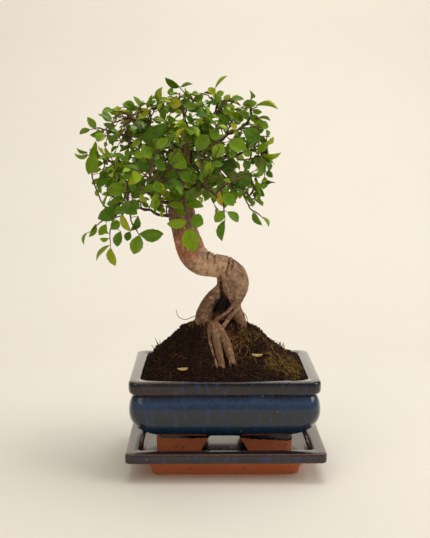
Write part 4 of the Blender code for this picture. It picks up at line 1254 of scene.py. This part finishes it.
# Leaves set one by one where they show against the light: base x, base z, tip x, tip z, width, tint from
# dark (0) to yellow (1). The stem gives the twig they hang on as x, z, and y is how far back they are.
setLeaves = {
    "top_1": {
        "y": 6, "stem": [(-26, 308), (-30, 312), (-38, 321)],
        "leaves": [
            (-38, 321, -50, 328, 5, 0.2), (-37, 321, -28, 325, 4.5, 0.25), (-26, 309, -18, 315, 6, 0.3),
            (-32, 310, -36, 313, 2.5, 0.3), (-34, 315, -31, 318, 2.5, 0.3),
        ],
    },
    "top_right_1": {
        "y": -5, "stem": [(-5, 300), (-7, 308), (-9, 315)],
        "leaves": [
            (-8, 314, -14, 320, 6, 0.8), (-8, 320, 1, 330, 1.5, 0.75), (-8, 313, -1, 317, 5, 0.4),
            (-10, 314, -18, 316, 2, 0.05), (-8, 308, -3, 312, 5, 0.35), (-5, 304, 2, 307, 5, 0.35),
            (-6, 307, -13, 309, 5, 0.3),
        ],
    },
    "top_3": {
        "y": -14, "stem": [(-34, 302), (-37, 305)],
        "leaves": [
            (-44, 308, -54, 309, 5, 0.75), (-36, 306, -46, 308, 8.5, 0.85),
            (-34, 306, -24, 304, 6.5, 0.45), (-39, 303, -47, 301, 6, 0.3),
        ],
    },
    "upper_left_2": {
        "y": 14, "stem": [(-63, 300), (-76, 299), (-91, 292)],
        "leaves": [
            (-80, 301, -96, 296, 4.5, 0.7), (-80, 296, -89, 290, 3.5, 0.65),
            (-75, 296, -85, 288, 4.5, 0.65), (-62, 301, -75, 300, 7.5, 0.72),
            (-63, 303, -56, 304, 2.5, 0.05), (-96, 292, -107, 299, 5, 0.3),
            (-92, 289, -103, 290, 5, 0.4),
        ],
    },
    "far_left_3": {
        "y": 20, "stem": [(-73, 272), (-79, 277), (-87, 282), (-111, 288)],
        "leaves": [
            (-103, 285, -115, 280, 5, 0.45), (-86, 282, -78, 287, 4.5, 0.35),
            (-91, 283, -100, 286, 4.5, 0.4), (-83, 280, -89, 274, 4.5, 0.35),
            (-77, 275, -84, 271, 5, 0.3),
        ],
    },
    "low_left_4": {
        "y": -10, "stem": [(-100, 222), (-106, 234), (-109, 242), (-111, 251), (-110, 262)],
        "leaves": [
            (-109, 267, -113, 249, 10, 0.62), (-112, 265, -106, 276, 4, 0.6),
            (-105, 262, -88, 265, 6.5, 0.62), (-97, 257, -101, 261, 3.5, 0.1),
            (-98, 251, -106, 238, 8, 0.25), (-104, 246, -99, 252, 5, 0.3),
        ],
    },
    "far_left_1": {
        "y": 6, "stem": [(-102, 263), (-112, 264), (-121, 265)],
        "leaves": [
            (-116, 267, -125, 270, 2, 0.5), (-116, 264, -128, 264, 2, 0.5),
            (-116, 265, -123, 267, 1.5, 0.45), (-109, 264, -112, 259, 3.5, 0.4),
        ],
    },
    "mid_left_1": {
        "y": -24, "stem": [(-76, 236), (-88, 234), (-95, 229)],
        "leaves": [
            (-82, 237, -97, 238, 11.5, 0.42), (-92, 226, -85, 232, 5.5, 0.5),
            (-67, 239, -75, 230, 8, 0.3), (-88, 232, -95, 225, 5, 0.35),
        ],
    },
    "low_left_1": {
        "y": -6, "stem": [(-85, 216), (-95, 212), (-105, 209), (-112, 201)],
        "leaves": [
            (-89, 221, -106, 212, 11.5, 0.28), (-109, 207, -113, 195, 5, 0.5),
            (-116, 200, -120, 191, 3, 0.6), (-100, 207, -106, 198, 6.5, 0.62),
        ],
    },
    "low_left_2": {
        "y": -14, "stem": [(-93, 212), (-96, 201), (-96, 188)],
        "leaves": [
            (-97, 196, -105, 195, 4, 0.55), (-97, 190, -110, 180, 5.5, 0.6),
            (-96, 188, -93, 172, 8.5, 0.72), (-87, 202, -91, 189, 8, 0.38),
            (-88, 210, -95, 204, 7.5, 0.3), (-97, 200, -102, 205, 3.5, 0.4),
        ],
    },
    "low_left_3": {
        "y": -8, "stem": [(-79, 211), (-76, 204), (-72, 198)],
        "leaves": [
            (-72, 198, -77, 182, 10.5, 0.4), (-72, 199, -52, 198, 11, 0.42),
            (-80, 201, -83, 193, 6, 0.3), (-73, 214, -78, 201, 6.5, 0.3),
        ],
    },
    "mid_left_2": {
        "y": -28, "stem": [(-80, 232), (-81, 224), (-84, 218)],
        "leaves": [
            (-85, 218, -80, 202, 7, 0.66), (-84, 227, -72, 218, 10.5, 0.35),
            (-76, 230, -71, 222, 6.5, 0.3), (-83, 223, -91, 218, 6.5, 0.4),
        ],
    },
    "trunk_1": {
        "y": -24, "stem": [(-35, 224), (-32, 216), (-31, 207)],
        "leaves": [
            (-32, 211, -48, 209, 8.5, 0.55), (-28, 214, -18, 209, 11.5, 0.35),
            (-31, 205, -26, 187, 13.5, 0.55), (-34, 222, -47, 226, 7.5, 0.45),
            (-32, 224, -18, 225, 8, 0.4), (-33, 229, -22, 234, 7.5, 0.35),
            (-36, 229, -46, 233, 6.5, 0.4), (-32, 218, -41, 220, 6.5, 0.42),
        ],
    },
    "front_right_1": {
        "y": -46, "stem": [(-4, 238), (-2, 225), (-1, 215)],
        "leaves": [
            (-2, 222, -9, 213, 7.5, 0.35), (1, 221, 10, 213, 7, 0.42), (-1, 214, -4, 197, 7.5, 0.35),
            (-6, 237, -4, 225, 5.5, 0.92), (-2, 236, 6, 226, 9.5, 0.38),
        ],
    },
    "right_low_1": {
        "y": 4, "stem": [(15, 233), (22, 219), (27, 216), (33, 211)],
        "leaves": [
            (16, 230, 25, 222, 5.5, 0.45), (24, 216, 31, 205, 5.5, 0.45), (32, 212, 38, 204, 4, 0.5),
            (21, 222, 26, 226, 2.5, 0.5),
        ],
    },
    "right_low_2": {
        "y": -14, "stem": [(6, 244), (15, 246), (26, 236)],
        "leaves": [
            (22, 250, 5, 236, 14, 0.22), (25, 244, 32, 237, 4, 0.55), (27, 233, 31, 225, 2.5, 0.5),
            (24, 240, 30, 230, 4, 0.4), (12, 246, 2, 251, 6.5, 0.3),
        ],
    },
    "right_2": {
        "y": -8, "stem": [(11, 261), (22, 262), (31, 263)],
        "leaves": [
            (24, 262, 34, 253, 9, 0.35), (31, 264, 46, 264, 3, 0.6), (32, 263, 42, 259, 2.5, 0.6),
            (27, 268, 36, 275, 7, 0.45), (21, 264, 15, 270, 6.5, 0.35), (16, 261, 20, 253, 6.5, 0.3),
        ],
    },
    "right_1": {
        "y": 4, "stem": [(18, 276), (26, 280), (38, 280)],
        "leaves": [
            (28, 291, 37, 288, 7, 0.5), (26, 283, 33, 286, 4, 0.3), (28, 280, 35, 275, 5, 0.4),
        ],
    },
    "right_high_1": {
        "y": 8, "stem": [(19, 290), (22, 300), (23, 308)],
        "leaves": [
            (26, 306, 44, 306, 4, 0.62), (15, 307, 27, 308, 7, 0.5), (23, 302, 31, 300, 4.5, 0.45),
            (21, 297, 30, 293, 6, 0.45), (20, 295, 14, 300, 6, 0.35),
        ],
    },
    "right_3": {
        "y": -30, "stem": [(-16, 268), (-10, 274), (2, 276)],
        "leaves": [
            (-14, 281, -25, 268, 12, 0.4), (-2, 274, -10, 264, 10, 0.55), (3, 276, 17, 271, 11.5, 0.5),
            (16, 287, 27, 276, 11, 0.25), (-6, 278, -13, 285, 7.5, 0.35),
        ],
    },
    "mid_left_3": {
        "y": -34, "stem": [(-49, 255), (-40, 260), (-32, 258)],
        "leaves": [
            (-46, 265, -29, 255, 13, 0.42), (-48, 291, -67, 279, 8.5, 0.3),
            (-43, 254, -55, 249, 8, 0.35), (-37, 252, -29, 245, 8, 0.4),
        ],
    },
    "right_low_3": {
        "y": -12, "stem": [(-9, 244), (-4, 253), (-1, 257)],
        "leaves": [
            (-1, 260, 10, 255, 8, 0.15), (-2, 252, 9, 249, 6, 0.1), (-7, 249, -14, 243, 6.5, 0.4),
            (-17, 237, -14, 227, 7.5, 0.35), (-8, 244, 1, 239, 7.5, 0.3),
        ],
    },
}


def branchPath(name):
    path = smoothPath([(*place, 0.0) for place in branchRoutes[name]], 3.0)
    last = len(path) - 1
    for index, place in enumerate(path):
        share = index / last
        drift = wanderAt(Vector(place[:3]) * 0.13) * twigs["wander"] * 2 * min(share * 3, 1.0)
        knot = 0.22 * math.sin(index * 2.1 + len(name)) + 0.25 * noise.noise(Vector(place[:3]) * 0.4)
        radius = twigs["collar"] + (twigs["end"] - twigs["collar"]) * math.sqrt(share)
        radius = radius + knot + twigs["flare"] * math.exp(-index * 0.55)
        path[index] = [place[0] + drift.x, place[1] + drift.y, place[2] + drift.z, radius]
    return path


def anyWay(rng):
    return Vector([rng.uniform(-1, 1) for axis in range(3)])


def stemPath(rng, start, tip, thick, thin, arch=0.10):
    span = tip - start
    length = span.length
    steps = max(4, round(length / 2.6))
    side = span.cross(anyWay(rng)).normalized()
    seed = Vector((rng.uniform(0, 50), rng.uniform(0, 50), 0))
    path = []
    for step in range(steps + 1):
        share = step / steps
        within = math.sin(math.pi * share)
        spot = start.lerp(tip, share) + Vector((0, 0, arch * length * 4 * share * (1 - share)))
        spot += wanderAt(seed + Vector((share * 3, 0, 0))) * 1.3 * within
        spot += side * twigs["zigzag"] * (1 if step % 2 else -1) * within
        path.append([*spot, thick + (thin - thick) * share + (0.14 if step % 2 else 0.0)])
    return path


def buildLeafPattern(rng):
    bm = bmesh.new()
    bm.loops.layers.uv.new("leafMap")
    bm.verts.layers.float.new("under")
    bm.verts.layers.float_color.new("look")
    bmesh.ops.create_grid(bm, x_segments=2, y_segments=leaf["rows"], size=0.5)
    bmesh.ops.solidify(bm, geom=bm.faces[:], thickness=leaf["thickness"])
    flatMap = bm.loops.layers.uv["leafMap"]
    under = bm.verts.layers.float["under"]
    middleZ = sum(vert.co.z for vert in bm.verts) / len(bm.verts)
    for face in bm.faces:
        for loop in face.loops:
            loop[flatMap].uv = (loop.vert.co.x + 0.5, loop.vert.co.y + 0.5)
    belly = rng.uniform(0.80, 1.12)  # below 1 the leaf is widest nearer its base
    curl = rng.uniform(0.05, 0.42)
    fold = rng.uniform(0.12, 0.42)
    sway = rng.uniform(-0.10, 0.10)
    for vert in bm.verts:
        x, y, z = vert.co.x, vert.co.y + 0.5, vert.co.z
        vert[under] = 1.0 if z < middleZ else 0.0
        row = round(y * leaf["rows"])
        tooth = 1.0 + (0.045 if row % 2 else -0.03) * (2 <= row < leaf["rows"])
        half = max(math.sin(math.pi * y ** belly) ** 0.74 * tooth, 0.055 if y < 0.5 else 0.02)
        wave = 0.035 * math.sin(y * 8 + belly * 20) * abs(x)
        vert.co.x = x * half + sway * (y - y * y) * 1.6
        vert.co.y = y
        vert.co.z = (z - middleZ) + fold * abs(x) * half - curl * (y - 0.25) ** 2 + wave
    bmesh.ops.recalc_face_normals(bm, faces=bm.faces)
    pattern = bpy.data.meshes.new("leafPattern")
    bm.to_mesh(pattern)
    bm.free()
    return pattern


class Foliage:  # gathers leaves, then makes one piece of them
    def __init__(self, patterns, rng):
        self.bm = bmesh.new()
        self.patterns = patterns
        self.rng = rng
        self.count = 0

    def add(self, base, tip, facing, width, tint, shine=None):
        along = tip - base
        length = along.length
        along.normalize()
        facing = (facing - along * facing.dot(along)).normalized()
        across = along.cross(facing)
        axes = Matrix((across * width, along * length, facing * length)).transposed().to_4x4()
        first = len(self.bm.verts)
        self.bm.from_mesh(self.rng.choice(self.patterns))
        self.bm.verts.ensure_lookup_table()
        added = self.bm.verts[first:]
        look = self.bm.verts.layers.float_color["look"]
        shade = (tint, self.rng.random(), self.rng.random() if shine is None else shine, 1.0)
        for vert in added:
            vert[look] = shade
        place = Matrix.Translation(base * mm) @ Matrix.Scale(mm, 4) @ axes
        bmesh.ops.transform(self.bm, matrix=place, verts=added)
        self.count += 1

    def finish(self, name, material, *nodes):
        if self.count:
            keep(newPiece(name, self.bm, material, sharpAngle=75), "leaf", *nodes)


def leafMaterial():
    material, tree, sockets = newMaterial("leafGreen", Specular_IOR_Level=0.4, Coat_Roughness=0.22)
    look = addNode(tree, "SeparateColor", {0: readValue(tree, "look", "Color")}).outputs
    flat = addNode(tree, "SeparateXYZ", {0: addNode(tree, "UVMap", uv_map="leafMap").outputs["UV"]}).outputs
    place = millimetres(tree)
    cloud = grainNoise(tree, place, 0.22, 3.0, 0.6)
    tint = sums(tree, "ADD", look[0], centred(tree, cloud, 0.42))
    tint = sums(tree, "ADD", tint, centred(tree, look[1], 0.16))
    body = ramp(tree, tint, [
        (0.0, (66, 46, 26)), (0.10, (58, 94, 5)), (0.34, (110, 158, 6)),
        (0.55, (156, 192, 10)), (0.76, (200, 206, 26)), (1.0, (220, 196, 54)),
    ])
    across = sums(tree, "ABSOLUTE", sums(tree, "SUBTRACT", flat[0], 0.5))
    midrib = mapped(tree, across, 0.045, 0.012)
    slope = sums(tree, "SUBTRACT", flat[1], times(tree, across, 0.62))
    pulse = sums(tree, "FRACT", times(tree, slope, 8.0))
    rib = sums(tree, "ABSOLUTE", sums(tree, "SUBTRACT", pulse, 0.5))
    veins = times(tree, mapped(tree, rib, 0.10, 0.02), 0.55)
    lines = sums(tree, "MAXIMUM", midrib, veins)
    body = tinted(tree, body, lines, 0.42, 150, 176, 58)
    fine = grainNoise(tree, place, 1.5, 3.0, 0.6)
    body = tinted(tree, body, mapped(tree, fine, 0.5, 0.7), 0.22, 30, 62, 6)
    rim = times(tree, mapped(tree, across, 0.40, 0.50), mapped(tree, look[1], 0.72, 0.95))
    body = tinted(tree, body, rim, 0.6, 122, 66, 36)
    spots = useGroup(tree, specks, Place=place, Scale=0.55, Cover=0.05, Size=0.22)
    body = tinted(tree, body, spots, 0.6, 120, 104, 44)
    under = readValue(tree, "under")
    body = tinted(tree, body, under, 0.40, 136, 166, 70)
    tree.links.new(body, sockets["Base Color"])
    gloss = sums(tree, "ADD", mapped(tree, look[2], 0.0, 1.0, 0.52, 0.28), times(tree, under, 0.2))
    tree.links.new(gloss, sockets["Roughness"])
    tree.links.new(times(tree, look[2], 0.34), sockets["Coat Weight"])
    surface = sums(tree, "SUBTRACT", times(tree, fine, 0.5), lines)
    normal = bumped(tree, surface, 0.5, 0.16)
    tree.links.new(normal, sockets["Normal"])
    glow = mixed(tree, 0.5, body, colour(160, 190, 10))
    through = addNode(tree, "BsdfTranslucent", {"Color": glow, "Normal": normal})
    shader = tree.nodes["Principled BSDF"].outputs[0]
    blend = addNode(tree, "MixShader", {0: 0.38, 1: shader, 2: through.outputs[0]})
    tree.links.new(blend.outputs[0], tree.nodes["Material Output"].inputs["Surface"])
    return material


def twigMaterial(name, dark, mid, light):
    material, tree, sockets = newMaterial(name, Specular_IOR_Level=0.4)
    place = millimetres(tree)
    broad = grainNoise(tree, place, 0.12, 3.0, 0.6)
    fine = grainNoise(tree, place, 1.1, 4.0, 0.7)
    body = ramp(tree, fine, [(0.32, dark), (0.52, mid), (0.70, light)])
    body = tinted(tree, body, mapped(tree, broad, 0.48, 0.66), 0.55, *dark)
    pores = useGroup(tree, specks, Place=place, Scale=0.9, Cover=0.18, Size=0.25)
    body = tinted(tree, body, pores, 0.6, 206, 176, 142)
    tree.links.new(body, sockets["Base Color"])
    tree.links.new(mapped(tree, fine, 0.3, 0.7, 0.5, 0.75), sockets["Roughness"])
    tree.links.new(bumped(tree, fine, 0.7, 0.25), sockets["Normal"])
    return material


def insideCrown(x, z):  # even-odd rule along the outline
    inside = False
    for (fromX, fromZ), (toX, toZ) in zip(crown["outline"], crown["outline"][1:] + crown["outline"][:1]):
        if (fromZ > z) != (toZ > z) and x < fromX + (toX - fromX) * (z - fromZ) / (toZ - fromZ):
            inside = not inside
    return inside


def facingOf(rng, spot, spread=0.42):  # leaves look up and out, towards the light
    outwards = spot - crown["middle"]
    outwards.normalize()
    front = -0.72 if spot.y < 15 else 0.72
    light = Vector((0.12, front, 0.62)) + outwards * 0.30
    return light + Vector((rng.gauss(0, spread), rng.gauss(0, spread), rng.gauss(0, spread)))


def addStalk(stalks, root, middle, base, thick):
    radius = twigs["stalk"]
    stalks.append([[*root, radius * thick], [*middle, radius], [*base, radius * 0.8]])


def dressShoot(rng, foliage, stalks, path, size, tint):
    length = sum(math.dist(a[:3], b[:3]) for a, b in zip(path, path[1:]))
    count = max(2, round((length - 3) / leaf["spacing"]))
    turn = rng.choice((-1, 1))
    for number in range(count + 1):
        share = min(0.16 + 0.84 * number / count, 1.0)
        index = min(int(share * (len(path) - 1)), len(path) - 2)
        spot = Vector(path[index][:3]).lerp(Vector(path[index + 1][:3]), share * (len(path) - 1) - index)
        ahead = (Vector(path[index + 1][:3]) - Vector(path[index][:3])).normalized()
        facing = facingOf(rng, spot)
        facing = (facing - ahead * facing.dot(ahead)).normalized()
        across = ahead.cross(facing) * turn
        turn = -turn
        if number < count:
            angle = math.radians(leaf["angle"] + rng.uniform(-14, 14))
        else:
            angle = rng.uniform(-0.2, 0.2)
        heading = ahead * math.cos(angle) + across * math.sin(angle) + Vector((0, 0, -0.16))
        heading.normalize()
        growth = 0.78 + 0.3 * math.sin(math.pi * min(share, 0.9))
        long = leaf["length"] * size * rng.uniform(0.72, 1.18) * growth
        base = spot + heading * rng.uniform(0.9, 1.8)
        tip = base + heading * long
        if nearSetLeaf(base.lerp(tip, 0.6)):
            continue
        shade = min(max(tint + rng.gauss(0, 0.11) + 0.16 * share, 0.12), 0.92)
        wide = long * leaf["width"] * rng.uniform(0.85, 1.14)
        foliage.add(base, tip, facing, wide, shade)
        addStalk(stalks, spot, spot.lerp(base, 0.6), base, 1.2)


def setOneByOne(rng, foliage, stalks, shoot, wood):
    depth = shoot["y"]
    stem = [Vector((x, depth + rng.uniform(-2, 2), z)) for x, z in shoot["stem"]]
    nearest = min(wood, key=lambda place: (Vector(place[:3]) - stem[0]).length)
    route = [(*nearest[:3], twigs["shoot"] * 1.5)] + [(*spot, twigs["shoot"]) for spot in stem]
    route[-1] = (*route[-1][:3], twigs["shootEnd"])
    path = smoothPath(route, 2.4)
    for place in path[2:-1]:
        drift = wanderAt(Vector(place[:3]) * 0.5) * 0.55
        place[:3] = [a + b for a, b in zip(place[:3], drift)]
    stalks.append(path)
    for baseX, baseZ, tipX, tipZ, wide, tint in shoot["leaves"]:
        near = min(path, key=lambda place: math.hypot(place[0] - baseX, place[2] - baseZ))
        y = near[1]
        base = Vector((baseX, y - 0.6, baseZ))
        if wide > leaf["widestInside"] and tipZ > leaf["insideAbove"]:
            share = leaf["widestInside"] / wide
            wide = leaf["widestInside"]
            tipX = baseX + (tipX - baseX) * share
            tipZ = baseZ + (tipZ - baseZ) * share
        long = math.hypot(tipX - baseX, tipZ - baseZ)
        tip = Vector((tipX, y + rng.uniform(-0.35, 0.15) * long, tipZ))
        seen = long * leaf["width"]
        # a narrow leaf is one seen from its side
        tilt = math.acos(min(wide / seen, 1.0)) * rng.choice((-1, 1))
        facing = Vector((0, -1, 0.25))
        facing.rotate(Matrix.Rotation(tilt, 3, (tip - base).normalized()))
        foliage.add(base, tip, facing, max(wide, long * 0.5) * 1.06, tint)
        root = Vector(near[:3])
        if (base - root).length > 0.5:
            middle = root.lerp(base, 0.55) + Vector((0, 0, 0.3))
            addStalk(stalks, root, middle, base, 1.3)


def thorns(rng, path, stalks, chance):
    for before, place in zip(path[2:], path[3:]):
        if rng.random() < chance:
            spot = Vector(place[:3])
            ahead = (spot - Vector(before[:3])).normalized()
            out = ahead.cross(anyWay(rng)).normalized()
            end = spot + (out + ahead * 0.4) * rng.uniform(1.8, 4.2)
            stalks.append([[*spot, 0.4], [*spot.lerp(end, 0.5), 0.34], [*end, 0.2]])


def nearSetLeaf(place):  # true in front view close to a leaf that was set one by one
    for shoot in setLeaves.values():
        for baseX, baseZ, tipX, tipZ, wide, tint in shoot["leaves"]:
            along = Vector((tipX - baseX, tipZ - baseZ))
            offset = Vector((place.x - baseX, place.z - baseZ))
            share = min(max(offset.dot(along) / max(along.length_squared, 1e-6), 0.0), 1.0)
            if (offset - along * share).length < wide * 0.5 + leaf["clearance"]:
                return place.y < shoot["y"] + leaf["behind"]
    return False


def crownPlace(rng):  # somewhere in the leaf mass, which is a dome seen from above
    if rng.random() < crown["frontShare"]:
        return Vector([rng.uniform(low, high) for low, high in zip(crown["frontLow"], crown["frontHigh"])])
    domeX, domeZ = crown["dome"]
    while True:
        x = rng.uniform(*crown["spanX"])
        z = rng.uniform(*crown["spanZ"])
        dome = 1 - ((x - crown["middle"].x) / domeX) ** 2 - ((z - crown["middle"].z) / domeZ) ** 2
        if insideCrown(x, z) and dome > 0.02:
            return Vector((x, rng.uniform(-1, 1) * crown["depth"] * math.sqrt(dome), z))


def apartFrom(places, spot):
    return min(((place - spot).length for place in places), default=0.0)


def growCrown():
    rng = random.Random(5)
    patterns = [buildLeafPattern(rng) for number in range(leaf["variants"])]
    green = leafMaterial()
    woodBark = twigMaterial("twigBark", (48, 31, 24), (82, 56, 42), (126, 94, 72))
    youngBark = twigMaterial("youngTwig", (66, 42, 26), (104, 70, 44), (150, 110, 74))
    paths = {name: branchPath(name) for name in branchRoutes}
    paths["trunk"] = [place for place in smoothPath(trunkRoute, 3.0) if place[2] > 185]
    stems = {name: [] for name in paths}
    total = 0
    shoots = sorted(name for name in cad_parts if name.startswith("shoot_"))
    for name in shoots:
        wood = name[len("shoot_"):].rsplit("_", 1)[0]
        short = name[len("shoot_"):]
        corners = [vert.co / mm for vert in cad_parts[name].data.vertices]
        base = min(corners, key=lambda corner: min(math.dist(corner, place[:3]) for place in paths[wood]))
        tip = max(corners, key=lambda corner: (corner - base).length)
        foliage = Foliage(patterns, rng)
        if short in setLeaves:
            setOneByOne(rng, foliage, stems[wood], setLeaves[short], paths[wood])
        else:
            start = Vector(min(paths[wood], key=lambda place: math.dist(base, place[:3]))[:3])
            end = base.lerp(tip, 0.80)
            path = stemPath(rng, start, end, twigs["shoot"] * 1.2, twigs["shootEnd"])
            stems[wood].append(path)
            dressShoot(rng, foliage, stems[wood], path, 1.0, rng.uniform(0.26, 0.5))
            thorns(rng, path, stems[wood], 0.06)
        total += foliage.count
        foliage.finish("leaves_" + short, green, name)
    names = sorted(paths)
    filled = {name: Foliage(patterns, rng) for name in names}
    wood = [(Vector(place[:3]), name) for name in names for place in paths[name][3:]]
    tips = []
    for number in range(crown["extraShoots"]):
        target = max((crownPlace(rng) for attempt in range(3)), key=lambda spot: apartFrom(tips, spot))
        start, name = min(wood, key=lambda place: (place[0] - target).length)
        reach = min((target - start).length, crown["longestShoot"])
        tip = start + (target - start).normalized() * max(reach, 9.0)
        tips.append(tip)
        stem = stemPath(rng, start, tip, twigs["shoot"], twigs["shootEnd"])
        stems[name].append(stem)
        size = rng.uniform(0.68, 1.02)
        dressShoot(rng, filled[name], stems[name], stem, size, rng.uniform(0.2, 0.46))
        thorns(rng, stem, stems[name], 0.03)
    for name in names:
        total += filled[name].count
        filled[name].finish("leaves_along_" + name, green)
        keep(placeMesh("twigs_" + name, tubeMesh(stems[name], 0), youngBark, sharpAngle=180), "twig")
    for name in branchRoutes:
        wood = placeMesh("wood_" + name, tubeMesh([paths[name]], 2), woodBark, sharpAngle=180)
        keep(wood, "twig", "branch_" + name)
    print("bonsai:", total, "leaves")


growCrown()
print("bonsai: the crown is in leaf")
